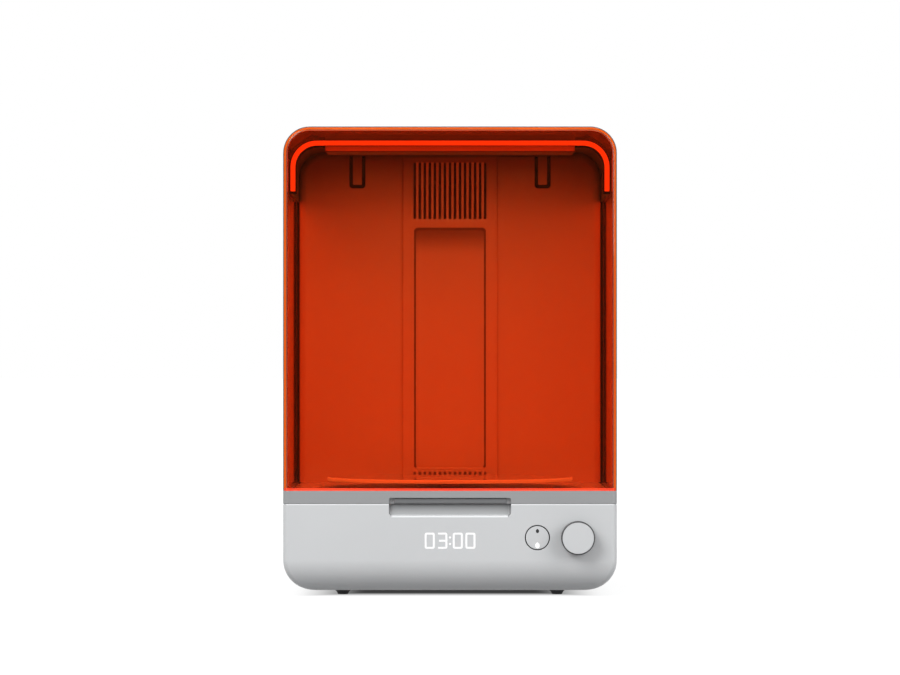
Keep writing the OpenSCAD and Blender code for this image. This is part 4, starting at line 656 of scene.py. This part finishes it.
frame_grey = moulded("frame_grey", (0.33, 0.334, 0.338), rough=0.34)
fit(hood_frame(), frame_grey, "frame_grey", "hood", "hood_frame")
strip_grey = moulded("strip_grey", (0.16, 0.163, 0.167), rough=0.5, grain=1600.0, mottle=0.05)
strip = rounded(1.7, hood_z + 0.5, 3.0, hood_z + 4.5, [0.5, 0, 0, 0.5], 4)
strip = prism("grip_strip", "x", strip, 4 - scoop_half, scoop_half - 4)
fit(soften(strip, 0.25), strip_grey, "rubber_dark", "hood", "grip_pad")


# Clear hood: drawn from one 3 mm sheet of orange acrylic that holds back blue light, rounded along
# its front and top, with a thin tongue glued into the frame's groove.
def arch_ring(inset, y, z0, high, r, w=half):
    rr = max(r - inset, 0.8)
    return along("y", rounded(-w + inset, z0, w - inset, high - inset, [0, 0, rr, rr], 14), y)


def clear_hood():
    edge, end, sheet, low = 4.0, 1.2, 3.0, band_top - 4
    rings = [arch_ring(edge * out, edge * back, low, hood_top, hood_r) for out, back in quarter(12)]
    rings += [arch_ring(end * back, hood_d - end * out, low, hood_top, hood_r) for out, back in quarter(4)]
    hood = loft("clear_hood", rings)
    rings = [arch_ring(sheet + end * out, sheet + end * back, low - 3, hood_top, hood_r)
             for out, back in quarter(6)]
    inside = loft("inside", rings + [arch_ring(sheet, 260, low - 3, hood_top, hood_r)])
    step = prism("step", "z", rounded(-150, -10, 150, 260, [0] * 4), low - 2, band_top)
    shape(step, loft("tongue", [hood_plan(1.5, 270, z) for z in (low - 5, band_top + 3)]))
    shape(hood, inside, step)
    bm = bmesh.new()
    bm.from_mesh(hood.data)
    bmesh.ops.bisect_plane(bm, geom=bm.verts[:] + bm.edges[:] + bm.faces[:],
                           plane_co=(0, 0, (band_top + 2.2) * 0.001), plane_no=(0, 0, 1))
    bm.to_mesh(hood.data)
    bm.free()
    return soften(hood, 0.25, 40)


def acrylic(name, tint, shade, rough=0.02, painted_glow=None, ior=1.4):
    """Clear plastic that lets light through it as well as sight, with a painted glow where one is given."""
    mat, n, link, shader = new_finish(name)
    give(shader, {"Base Color": tint, "IOR": ior, "Transmission Weight": 1.0})
    if painted_glow:
        give(shader, {"Emission Color": painted_glow, "Emission Strength": 0.8})
    look = group(n, moulded_grain, Rough=rough, Grain=40.0, Mottle=0.008)
    link(look.outputs["Roughness"], shader.inputs["Roughness"])
    raise_grain(n, link, look.outputs["Height"], shader, 0.05, 0.00005)
    through = n.new("ShaderNodeBsdfTransparent")
    give(through, {"Color": shade})
    path = n.new("ShaderNodeLightPath")
    mix = n.new("ShaderNodeMixShader")
    link(path.outputs["Is Shadow Ray"], mix.inputs["Fac"])
    link(shader.outputs["BSDF"], mix.inputs[1])
    link(through.outputs["BSDF"], mix.inputs[2])
    link(mix.outputs["Shader"], n["Material Output"].inputs["Surface"])
    return mat


shade = (0.50, 0.30, 0.18)
hood_orange = acrylic("hood_orange", (0.74, 0.125, 0.026), shade)
# Painted light: the rim and foot finishes glow along the hood's front edge and along its foot above the
# frame, though no lamp is there.
hood_rim_painted_glow = acrylic("hood_rim_painted_glow", (0.74, 0.10, 0.014), shade, painted_glow=(1.0, 0.13, 0.0), ior=1.2)
hood_foot_painted_glow = acrylic("hood_foot_painted_glow", (0.74, 0.125, 0.026), shade, painted_glow=(1.0, 0.03, 0.0))
hood = fit(clear_hood(), hood_orange, "hood_orange", "hood", "hood_shell")
# Painted shade: a dark tint on the hood's inner front rounding draws a dark line inside the rim.
hood_line_painted_shade = acrylic("hood_line_painted_shade", (0.16, 0.015, 0.006), shade)
also_finish(hood, hood_rim_painted_glow, lambda x, y, z: 0.25 < y < 1.5 and z > band_top)
also_finish(hood, hood_line_painted_shade, lambda x, y, z: 3.03 < y < 4.4 and z > band_top + 3)
also_finish(hood, hood_foot_painted_glow, lambda x, y, z: y < 1.0 and z < band_top + 2.2)


# Metal and inner parts that keep their made shape: welded copies of the plain solids with every edge
# broken, as stamped, turned and moulded parts have.
def broken_edges(name, width, limit=38):
    bm = bmesh.new()
    bm.from_mesh(node[name].data)
    bmesh.ops.remove_doubles(bm, verts=bm.verts, dist=2e-6)
    bmesh.ops.dissolve_limit(bm, angle_limit=math.radians(1.0), verts=bm.verts, edges=bm.edges)
    mesh = bpy.data.meshes.new("made_" + name)
    bm.to_mesh(mesh)
    bm.free()
    mesh.shade_smooth()
    return soften(in_scene("made_" + name, mesh), width, limit, 2, clamp=True)


def made(name, finish, slot, width=0.25, also=()):
    """A made part, with other finishes where a test on a face's middle, in millimetres, says so."""
    ob = broken_edges(name, width)
    fit(ob, finish, slot, node[name]["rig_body"], name)
    for other, test in also:
        also_finish(ob, other, test)
    return ob


steel = moulded("bright_steel", (0.62, 0.63, 0.65), rough=0.24, grain=900.0, metal=1.0)
aluminium = moulded("plain_aluminium", (0.78, 0.79, 0.81), rough=0.36, grain=900.0, metal=1.0)
black = moulded("black_moulding", (0.018, 0.018, 0.019), rough=0.4, grain=2000.0, mottle=0.1)
black_paint = moulded("black_paint", (0.012, 0.012, 0.013), rough=0.55, grain=1500.0, mottle=0.1)
brass = moulded("machined_brass", (0.62, 0.42, 0.16), rough=0.28, metal=1.0)
acetal = moulded("natural_acetal", (0.78, 0.77, 0.72), rough=0.42)
grey_can = moulded("motor_can", (0.30, 0.31, 0.33), rough=0.32, metal=0.9)


# Hinges: steel leaves glued under the hood's top and screwed in the rear housing, on two plain pins.
made("hood_hinge_leaves", steel, "steel")
made("housing_hinge_leaves", steel, "steel")
made("hinge_pins", steel, "steel", 0.4)
made("hood_magnet", steel, "steel", 0.2)
made("hood_bumpers", rubber, "rubber_dark", 0.2)


# Rear housing: a second ABS moulding in the base's colour behind the hood, rounded at the back, with
# two fields of vent slots and two notches for the hinges. It carries all that the chamber needs.
def housing_ring(side, high, y, r):
    return along("y", rounded(-half + side, top, half - side, hood_top - high, [0, 0, r, r], 14), y)


def rear_shell():
    y0, edge, back, side, r = 248.0, 4.0, 12.0, 0.6, hood_r - 0.6
    rings = [housing_ring(side * out, edge * out, y0 + edge * along_y, r) for out, along_y in quarter(6)]
    rings += [housing_ring(back * up, back * up, depth - back * out, r - back * up * 0.7)
              for out, up in quarter(12)]
    shell = loft("rear_cover", rings)
    rings = [housing_ring(wall, wall, y0 - 1, 19)]
    rings += [housing_ring(wall + 9 * up, wall + 9 * up, depth - wall - 9 * out, 19 - 6 * up)
              for out, up in quarter(8)]
    room = loft("room", [[(x, y, z - 1.5 if z < top + 1 else z) for x, y, z in ring] for ring in rings])
    notch = prism("notch", "z", rounded(-103.5, 240, -58.5, 257.1, [0, 0, 1.5, 1.5]), 384.9, 395)
    slot = upright("slot", -110, 170.5, -108, 230.5, 0.95, 288, 300)
    vents = in_row(in_row(slot, 13, (4, 0, 0)), 2, (170, 0, 0))
    return soften(shape(shell, room, in_row(notch, 2, (162, 0, 0)), vents), 0.4)


fit(rear_shell(), shell_grey, "shell_grey", "unit", "rear_housing")
made("rear_bulkhead", black_paint, "aluminium", 0.2)
side_screws = [(sx * 122, 250, z) for sx in (-1, 1) for z in (110.5, 240.5, 340.5)]
side_screws = at_spots("bulkhead_fixings", screw, side_screws, plated, (-90, 0, 0))
fit(side_screws, None, "steel", "unit", "bulkhead_screws")


# Rear panel: a moulded mains inlet with three brass blades, a rocker in its frame, and a cooling fan
# behind the base's vent slots.
def blades(x, y, z):
    return abs(x - inlet_x) < 8.2 and 280.04 < y < 293.2 and abs(z - panel_z) < 3.7


made("power_inlet", black, "black_plastic", 0.3, ((brass, blades),))
made("rocker_frame", black, "black_plastic", 0.3)
rocker_gloss = moulded("rocker_gloss", (0.014, 0.014, 0.015), rough=0.22, mottle=0.05)
made("power_rocker", rocker_gloss, "black_plastic", 0.4)
made("cooling_fan_frame", black, "black_plastic", 0.2)
made("cooling_fan_rotor", black, "black_plastic", 0.2)


# Chamber floor: a white gloss ABS tray over the deck, with a frosted grey window over each floor lamp.
def gloss_white(name, painted_top_shade=None):
    return moulded(name, (0.75, 0.745, 0.73), 0.22, 1400.0, depth=0.00001, mottle=0.02, painted_top_shade=painted_top_shade)


inner_white = gloss_white("chamber_white")
floor_top = 88.1


def floor_tray():
    def plan(d, z, r=6.0):
        return along("z", rounded(-132.2 + d, 10 + d, 132.2 - d, 249.7, [max(r - d, 1)] * 2 + [0, 0]), z)
    rings = [plan(0, top)] + [plan(2 * up, floor_top - 2 * out) for out, up in quarter(5)]
    tray = loft("floor_tray", rings)
    under = prism("under", "z", rounded(-130.2, 12, 130.2, 247.7, [4, 4, 0, 0]), top - 2, floor_top - 2.5)
    neck = prism("neck", "z", circle(10, 0, table_y, 48), 70, 95)
    window = prism("window", "z", rounded(-lamp_x - 12, 40, 12 - lamp_x, 130, [2] * 4), 80, 95)
    return soften(shape(tray, under, neck, in_row(window, 2, (2 * lamp_x, 0, 0))), 0.25, 35)


fit(floor_tray(), inner_white, "inner_white", "unit", "chamber_floor")
frosted = moulded("frosted_grey", (0.30, 0.30, 0.31), rough=0.3, grain=1200.0)
pane = rounded(-lamp_x - 11.9, 40.1, 11.9 - lamp_x, 129.9, [2] * 4)
pane = prism("window_panes", "z", pane, floor_top - 2.6, floor_top)
pane = soften(in_row(pane, 2, (2 * lamp_x, 0, 0)), 0.2)
fit(pane, frosted, "diffuser", "unit", "floor_windows")


# Back wall: a vacuum-formed white liner with rounded upright corners and two U-shaped slots that free
# a snap tongue each, with a black pad behind each tongue as painted shade in the slots. Its colour is
# painted darker towards the top, as painted shade under the canopy.
liner_y, liner_half, liner_top, tongue_step = 239, 132.4, 377.9, (162.8, 0, 0)


def liner_ring(inset, y):
    side, radii = liner_half - inset, [0, 0] + [max(21.2 - inset, 1)] * 2
    return along("y", rounded(-side, floor_top, side, liner_top - inset, radii, 14), y)


def back_wall():
    rings = [liner_ring(7 * out, liner_y + 7 * back) for out, back in quarter(10)]
    liner = loft("back_wall", rings + [liner_ring(0, 250)])
    rings = [liner_ring(2 + 5 * out, liner_y + 2 + 5 * back) for out, back in quarter(6)]
    rings.append(liner_ring(2, 252))
    room = loft("room", [[(x, y, z + 2 if z < floor_top + 1 else z) for x, y, z in r] for r in rings])
    slot = upright("slot", -88.5, 346.5, -74.3, 375, [3, 3, 0, 0], 230, 245)
    shape(slot, upright("tongue", -85.3, 349.7, -77.5, 376, [0.8, 0.8, 0, 0], 229, 246))
    opening = upright("opening", -38.8, 90.4, 38.8, 372, 0, 230, 245)
    return soften(shape(liner, room, in_row(slot, 2, tongue_step), opening), 0.12)


# Painted shade: the liner's colour darkens towards its top, under the canopy.
liner_white = gloss_white("liner_white", ((0.27, 0.24, 0.21), 316.0, 374.0))
fit(back_wall(), liner_white, "inner_white", "unit", "back_liner")
# Painted shade: near-black pads behind the tongue slots, so the slots read dark.
shade_black = moulded("painted_shade_black", (0.004, 0.004, 0.004), rough=0.95, grain=900.0, mottle=0.2)
shade_pad = upright("tongue_felt", -90.5, 344.5, -72.3, 376.5, 1, liner_y + 2.2, liner_y + 4.5, 2)
fit(soften(in_row(shade_pad, 2, tongue_step), 0.2), shade_black, "rubber_dark", "unit")


# Air column: a moulded cover on the back wall that leads warm air round. It has fifteen tall slots at
# the top, a shallow recess below them and a row of outlets at its foot.
def air_column():
    def face(d, y):
        return along("y", rounded(-42 + d, 88.4, 42 - d, 375 - d, [0, 0, 1.2, 1.2]), y)
    rings = [face(2 * out, 236 + 2 * back) for out, back in quarter(6)]
    column = loft("air_column_cover", rings + [face(0, 239)])
    window = prism("window", "y", rounded(-31.99, 319.6, 31.99, 368.9, [0.6] * 4, 3), 230, 245)
    recess = loft("recess", [along("y", rounded(-31.4 + d, 99.5 + d, 31.4 - d, 311.5 - d, [3.5] * 4), y)
                             for d, y in ((0, 230), (0, 236.3), (1.7, 238.2))])
    outlet = prism("outlet", "y", rounded(-32, 92.2, -29.9, 97.2, [0.4] * 4, 2), 230, 245)
    return soften(shape(column, window, recess, in_row(outlet, 15, (4.42, 0, 0))), 0.4)


column = fit(air_column(), liner_white, "inner_white", "unit", "air_column")
# Painted shade: the recess floor darkens towards its top edge and its side walls are painted dark.
recess_painted_shade = gloss_white("recess_painted_shade", ((0.30, 0.27, 0.25), 286.0, 311.0))
recess_edge_painted_shade = moulded("recess_edge_painted_shade", (0.20, 0.17, 0.15), rough=0.4, grain=1400.0)
also_finish(column, recess_painted_shade, lambda x, y, z: abs(x) < 31.6 and 99 < z < 312 and 238 < y < 238.4)
also_finish(column, recess_edge_painted_shade, lambda x, y, z: abs(x) < 31.6 and 101.5 < z < 312 and 236.02 < y < 238)
slat = rounded(-29.89, 236.0, -27.57, 239.0, [0.6, 0.6, 0.2, 0.2], 4)
slat = soften(prism("grille_slats", "z", slat, 319.3, 369.2), 0.1)
fit(in_row(slat, 14, (4.42, 0, 0), inner_white), None, "inner_white", "unit")
# Painted shade: a black sleeve and a black screen behind the grille, so its slots read dark.
sleeve_rings = [along("y", rounded(-38.5 + d, 90.7 + d, 38.5 - d, 371.7 - d, [0.5] * 4, 2), y)
                for d, y in ((0, 239), (0, 250), (1.5, 250), (1.5, 239))]
fit(crisp(loft("column_sleeve", sleeve_rings, closed=True)), shade_black, "black_plastic", "unit")
screen = prism("dust_screen", "y", rounded(-37, 305, 37, 370.2, [1] * 4, 2), 247, 249)
fit(crisp(screen), shade_black, "black_plastic", "unit")


# Canopy: a bent sheet of dark-painted aluminium over the chamber. Its front edge carries a clear
# light guide, lit red, in a dark channel.
def arch_outline(w, z0, high, r, t, steps=14):
    """Outline of an arch strip: up the outside and back down the inside."""
    out, back = [(-w, z0)], []
    for cx, start, d in ((-w + r, 180, -1), (w - r, 90, -1)):
        for i in range(steps + 1):
            a = math.radians(start + d * 90 * i / steps)
            out.append((cx + r * math.cos(a), high - r + r * math.sin(a)))
            back.append((cx + (r - t) * math.cos(a), high - r + (r - t) * math.sin(a)))
    return out + [(w, z0), (w - t, z0)] + back[::-1] + [(-w + t, z0)]


canopy_paint = moulded("canopy_paint", (0.055, 0.055, 0.058), rough=0.5, grain=1300.0, mottle=0.05)
canopy_arch = (134.2, 334.5, 379.7, 23)
canopy = prism("canopy_sheet", "y", arch_outline(*canopy_arch, 1.5), 51, 250)
shape(canopy, prism("lamp_seat", "z", rounded(-100.5, 55, 100.5, 97, [1] * 4), 370, 385))
fit(soften(canopy, 0.3), canopy_paint, "aluminium", "unit", "canopy")
# Painted shade: the channel round the light guide is near-black, so dark lines border the guide.
channel = prism("arch_channel", "y", arch_outline(*canopy_arch, 6.3), 45.6, 51)
shape(channel, prism("seat", "y", arch_outline(133.35, 330, 379.15, 22.2, 4.1), 40, 50),
      prism("lamp_gap", "y", rounded(-104.4, 366, 104.4, 375.0, [0] * 4), 40, 55))
fit(soften(channel, 0.15), shade_black, "light_red", "unit")
guide = prism("light_guide", "y", arch_outline(133.3, 336.9, 379.1, 22.15, 4.0), 45, 50.4)
lit_red = glow("lit_red", (1.0, 0.16, 0.04), 1.5, (0.3, 0.05, 0.02))
fit(soften(guide, 0.4), lit_red, "light_red", "unit", "light_arch")


# Lamp: an extruded heat sink on the canopy with two rows of diodes under it, behind a frosted cover.
def diodes(x, y, z):
    return z < 378.15


board_white = moulded("white_mask", (0.7, 0.7, 0.68), rough=0.4)
yellow_lens = moulded("yellow_lens", (0.8, 0.6, 0.08), rough=0.2)
anodised = moulded("dark_anodised", (0.17, 0.17, 0.175), rough=0.45, grain=900.0, metal=0.35)
made("lamp_unit", anodised, "aluminium", 0.2, ((yellow_lens, diodes),))
cover_out = [along("z", rounded(-104.5 + d, 51 + d, 104.5 - d, 101 - d, [2.5] * 4), z)
             for d, z in ((0, 378.2), (0, 370.9), (0.6, 370.0), (1.8, 369.6))]
cover_in = [along("z", rounded(-103 + d, 52.5 + d, 103 - d, 99.5 - d, [1.5] * 4), z)
            for d, z in ((0.5, 371.1), (0, 380.2))]
# Painted light: the cover's front and sides glow red, and its underside is painted darker as painted shade.
satin_painted_glow = glow("satin_cover_painted_glow", (1.0, 0.13, 0.03), 0.22, (0.62, 0.5, 0.46))
cover_painted_shade = moulded("cover_underside_painted_shade", (0.12, 0.105, 0.095), rough=0.35)
cover_shape = shape(loft("lamp_cover", cover_out), loft("room", cover_in))
cover = fit(soften(cover_shape, 0.2), satin_painted_glow, "diffuser", "unit", "lamp_diffuser")
also_finish(cover, cover_painted_shade, lambda x, y, z: z < 370.6)


# Turntable: a thick white glazed disc with rounded rims that drops over two pins and a boss on the
# aluminium hub, and lifts off for cleaning.
glazed = moulded("glazed_white", (0.80, 0.78, 0.76), rough=0.08, grain=300.0, depth=0.000004,
                 mottle=0.01, coat=0.6)
disc_r, disc_z, disc_t, rim_r, bore_z = 104.5, 93.1, 3, 1.3, 1.9
rim = [(disc_r - rim_r * (1 - math.cos(a)), disc_z + rim_r * (1 - math.sin(a)))
       for a in map(math.radians, (90, 67, 45, 22, 0))]
rim += [(r, 2 * disc_z + disc_t - z) for r, z in rim[::-1]]
bore = [(0, disc_z + bore_z), (12.3, disc_z + bore_z), (12.3, disc_z)]
disc = turned("turntable_disc", "z", (0, table_y), bore + rim + [(0, disc_z + disc_t)], 192)
pin_hole = prism("pin_hole", "z", circle(2.3, -22, table_y, 24), disc_z - 1, disc_z + bore_z)
disc = crisp(shape(disc, in_row(pin_hole, 2, (44, 0, 0))), 30)
fit(disc, glazed, "table_glass", "table_plate", "turntable")
# Painted highlight: the disc's rim glows, though it is no lamp.
rim_painted_glow = glow("rim_painted_glow", (1.0, 0.8, 0.62), 0.45, (0.8, 0.78, 0.76))
also_finish(disc, rim_painted_glow, lambda x, y, z: math.hypot(x, y - table_y) > disc_r - rim_r + 0.05)
made("turntable_hub", aluminium, "aluminium", 0.3)
made("spindle", steel, "steel", 0.3)
made("spindle_gear", acetal, "gear_white", 0.15)
made("spindle_bearings", steel, "steel", 0.3)
made("bearing_housing", aluminium, "aluminium", 0.4)
made("drive_plate", plated, "steel", 0.3)
made("drive_motor", plated, "steel", 0.4, ((grey_can, lambda x, y, z: z < 36.4),))
made("motor_shaft", steel, "steel", 0.3)
made("motor_pinion", brass, "brass", 0.1)


# Screws inside: under the drive plate, through the control board and up through the deck.
def round_spots(x, r, z, turns):
    return [(x + r * math.cos(a), table_y + r * math.sin(a), z) for a in map(math.radians, turns)]


drive_spots = [(x, table_y + sy * 33, 60.5) for x in (-33, 61.5) for sy in (-1, 1)]
drive_spots += round_spots(0, 18, 57.5, (45, 135, 225, 315))
motor_spots = round_spots(40, 15.5, 63.5, (60, 120, 240, 300))
fit(at_spots("drive_fixings", screw, drive_spots, plated), None, "steel", "unit", "drive_screws")
fit(at_spots("motor_fixings", screw, motor_spots, plated, (180, 0, 0)), None, "steel", "unit")
board_spots = [(x, 16.1, z) for x in (-35, 120.6) for z in (36.5, 56.5)]
board_fixings = at_spots("board_fixings", screw, board_spots, plated, (90, 0, 0))
fit(board_fixings, None, "steel", "unit", "board_screws")
deck_spots = [(sx * 120.2, y, 73.5) for sx in (-1, 1) for y in (22, 234.7)]
deck_spots += [(sx * 129, y, 73.5) for sx in (-1, 1) for y in (260, 280)]
fit(at_spots("deck_fixings", screw, deck_spots, plated), None, "steel", "unit", "deck_screws")
bpy.data.objects.remove(screw)


# Electronics: glass-fibre boards in green lacquer over copper tracks, with black, silver and white
# parts soldered on, and black moulded switches.
def track_group():
    """Copper tracks that show through lacquer as lighter lines."""
    tree, n, link, given, out = new_tree("lacquered_tracks", "Shader", (
        ("Lacquer", "Color", (0.01, 0.09, 0.04, 1)), ("Track", "Color", (0.03, 0.2, 0.08, 1)),
        ("Pitch", "Float", 180.0)), (("Color", "Color"), ("Height", "Float")))
    place, cells = n.new("ShaderNodeTexCoord"), n.new("ShaderNodeTexVoronoi")
    cells.distance, cells.feature = "MANHATTAN", "F1"
    link(place.outputs["Object"], cells.inputs["Vector"])
    link(given.outputs["Pitch"], cells.inputs["Scale"])
    many, wave, edge = maths(n, "MULTIPLY", 3.0), maths(n, "FRACT"), maths(n, "GREATER_THAN", 0.55)
    link(cells.outputs["Distance"], many.inputs[0])
    link(many.outputs[0], wave.inputs[0])
    link(wave.outputs[0], edge.inputs[0])
    mix = n.new("ShaderNodeMix")
    mix.data_type = "RGBA"
    link(edge.outputs[0], mix.inputs["Factor"])
    link(given.outputs["Lacquer"], mix.inputs[6])
    link(given.outputs["Track"], mix.inputs[7])
    link(mix.outputs[2], out.inputs["Color"])
    link(edge.outputs[0], out.inputs["Height"])
    return tree


board, board_nodes, board_link, board_shader = new_finish("circuit_board")
board_look = group(board_nodes, track_group())
board_shader.inputs["Roughness"].default_value = 0.35
board_link(board_look.outputs["Color"], board_shader.inputs["Base Color"])
raise_grain(board_nodes, board_link, board_look.outputs["Height"], board_shader, 1.0, 0.00003)

made("control_board", board, "board_green", 0.15, ((black, lambda x, y, z: y > 16.15),))
made("display_module", black, "black_plastic", 0.3)
made("dial_encoder", black, "black_plastic", 0.3)
made("dial_shaft", steel, "steel", 0.2)
made("button_switch", black, "black_plastic", 0.3)
made("switch_plunger", black, "black_plastic", 0.2)
made("hood_sensor", board, "board_green", 0.15)
made("power_supply", board, "board_green", 0.2, (
    (black, lambda x, y, z: z > 13.7 and x < -36),
    (aluminium, lambda x, y, z: z > 13.7 and -22 < x < -14),
    (acetal, lambda x, y, z: z > 13.7 and x > -4)))
made("lamp_driver", board, "board_green", 0.2, (
    (black, lambda x, y, z: y > 261.7 and x < 95), (aluminium, lambda x, y, z: y > 261.7 and x > 95)))
made("floor_lamps", board_white, "board_green", 0.15, ((yellow_lens, lambda x, y, z: z > 80.2),))


# Warm air: a folded sheet-steel duct behind the back wall with a finned heater and a fan at its top.
made("air_duct", plated, "aluminium", 0.2)
made("air_heater", aluminium, "aluminium", 0.1)
made("blower_frame", black, "black_plastic", 0.3)
made("blower_rotor", black, "black_plastic", 0.2)


# Wiring: one sleeved harness from the power supply up through the deck to the lamp.
def harness():
    bend, x0, y1, high, low, end_x, end_y, thick = 8.0, 49.0, 272.0, 381.8, 20.0, 4.0, 254.0, 2
    round_it = [2 * math.pi * k / 16 for k in range(16)]
    arc = [math.radians(9 * i) for i in range(11)]
    line = [(x0, 101, high)]
    line += [(x0, y1 - bend + bend * math.sin(a), high - bend + bend * math.cos(a)) for a in arc]
    line += [(x0 - bend + bend * math.cos(a), y1, low + bend - bend * math.sin(a)) for a in arc]
    line += [(end_x + bend - bend * math.sin(a), y1 - bend + bend * math.cos(a), low) for a in arc]
    line += [(end_x, end_y, low)]
    points = [Vector(p) for p in line]
    rings, side = [], Vector((1, 0, 0))
    for i, p in enumerate(points):
        go = (points[min(i + 1, len(points) - 1)] - points[max(i - 1, 0)]).normalized()
        side = (side - go * side.dot(go)).normalized()
        up = go.cross(side)
        rings.append([p + thick * (side * math.cos(a) + up * math.sin(a)) for a in round_it])
    return crisp(loft("harness", rings), 50)


fit(harness(), black, "black_plastic", "unit", "lamp_wiring")


# Studio: a pale floor that goes over into a white surrounding, a large soft panel from the upper left,
# a weaker one from the right, one overhead, and two dark cards behind and under the camera.
def seen_ray(n, link):
    """One for rays from the camera, by mirror or through glass."""
    path = n.new("ShaderNodeLightPath")
    first, both = maths(n, "MAXIMUM"), maths(n, "MAXIMUM")
    link(path.outputs["Is Camera Ray"], first.inputs[0])
    link(path.outputs["Is Glossy Ray"], first.inputs[1])
    link(first.outputs[0], both.inputs[0])
    link(path.outputs["Is Transmission Ray"], both.inputs[1])
    return both.outputs[0]


def studio_floor():
    bpy.ops.mesh.primitive_plane_add(size=60.0, location=(0, 8.0, 0))
    floor = bpy.context.object
    floor.name = "studio_floor"
    mat, n, link, shader = new_finish("pale_floor")
    n.remove(shader)
    dull, pale = n.new("ShaderNodeBsdfDiffuse"), n.new("ShaderNodeBsdfDiffuse")
    give(dull, {"Color": (0.3, 0.3, 0.305)})
    give(pale, {"Color": (0.17, 0.17, 0.17)})
    glow_part, both = n.new("ShaderNodeEmission"), n.new("ShaderNodeAddShader")
    mix = n.new("ShaderNodeMixShader")

    def reach(value, near, far, low, high):
        step = n.new("ShaderNodeMapRange")
        step.interpolation_type = "SMOOTHSTEP"
        link(value, step.inputs["Value"])
        give(step, {"From Min": near, "From Max": far, "To Min": low, "To Max": high})
        return step.outputs["Result"]

    move, near, away = (n.new("ShaderNodeVectorMath") for i in range(3))
    place, split = n.new("ShaderNodeTexCoord"), n.new("ShaderNodeSeparateXYZ")
    under, level = maths(n, "MAXIMUM"), maths(n, "MULTIPLY")
    move.inputs[1].default_value = (0, 8.0, 0)
    near.operation, away.operation = "ABSOLUTE", "LENGTH"
    link(place.outputs["Object"], move.inputs[0])
    link(move.outputs["Vector"], near.inputs[0])
    link(move.outputs["Vector"], away.inputs[0])
    link(near.outputs["Vector"], split.inputs[0])
    link(split.outputs["X"], under.inputs[0])
    link(split.outputs["Y"], under.inputs[1])
    link(reach(away.outputs["Value"], 0.3, 1.1, 0.88, 1.0), level.inputs[0])
    # Painted shadow: the floor's glow falls away under the unit's footprint.
    link(reach(under.outputs[0], 0.07, 0.13, 0.05, 1.0), level.inputs[1])
    link(level.outputs[0], glow_part.inputs["Strength"])
    link(pale.outputs[0], both.inputs[0])
    link(glow_part.outputs[0], both.inputs[1])
    link(seen_ray(n, link), mix.inputs["Fac"])
    link(dull.outputs[0], mix.inputs[1])
    link(both.outputs[0], mix.inputs[2])
    link(mix.outputs[0], n["Material Output"].inputs["Surface"])
    floor.data.materials.append(mat)


studio_floor()


def dark_card(name, place, tip):
    bpy.ops.mesh.primitive_plane_add(size=1.7, location=place, rotation=(math.radians(tip), 0, 0))
    card = bpy.context.object
    card.name = name
    mat, _, _, shader = new_finish(name + "_black")
    give(shader, {"Base Color": (0.01, 0.01, 0.01), "Roughness": 0.9})
    card.data.materials.append(mat)
    card.visible_camera = card.visible_transmission = False
    card.visible_diffuse = card.visible_shadow = False


dark_card("standing_card", (0, front - 4.2, 0.75), 90)
dark_card("lying_card", (0, front - 3.4, 0.003), 0)


def panel(name, place, target, size, power, length=None):
    data = bpy.data.lights.new(name, "AREA")
    data.size = size
    if length:
        data.shape, data.size_y = "RECTANGLE", length
    data.energy = power
    ob = in_scene(name, data)
    ob.location = place
    ob.rotation_euler = (Vector(target) - Vector(place)).to_track_quat("-Z", "Y").to_euler()
    return ob


panel("key_panel", (-1.5, -2.0, 1.9), (0, 0, 0.2), 1.6, 54.0)
panel("fill_panel", (1.9, -1.7, 1.1), (0, 0, 0.2), 1.6, 26.0)
panel("top_panel", (0.0, 0.3, 2.4), (0, 0, 0.2), 1.8, 21.0)
lamp_light = panel("lamp_light", (0, front + 0.076, 0.3685), (0, front + 0.076, 0.1), 0.196, 0.26, 0.042)
lamp_light.visible_camera = lamp_light.visible_transmission = False

world = bpy.data.worlds.new("white_room")
bpy.context.scene.world = world
world.use_nodes = True
wn, wlink = world.node_tree.nodes, world.node_tree.links.new
soft_sky, white_sky = wn["Background"], wn.new("ShaderNodeBackground")
choose = wn.new("ShaderNodeMixShader")
give(soft_sky, {"Color": (0.93, 0.95, 0.97), "Strength": 0.55})
give(white_sky, {"Color": (1, 1, 1), "Strength": 1.0})
wlink(seen_ray(wn, wlink), choose.inputs["Fac"])
wlink(soft_sky.outputs[0], choose.inputs[1])
wlink(white_sky.outputs[0], choose.inputs[2])
wlink(choose.outputs[0], wn["World Output"].inputs["Surface"])

bpy.context.scene.view_settings.view_transform = "Standard"

camera = bpy.data.cameras.new("photo_camera")
camera.sensor_width = 36.0
camera.lens = 179.2
camera.shift_y = 0.0228
camera_ob = in_scene("photo_camera", camera)
camera_ob.location = (0.0, front - 3.7, 0.1974)
camera_ob.rotation_euler = (math.radians(90), 0, 0)
bpy.context.scene.camera = camera_ob
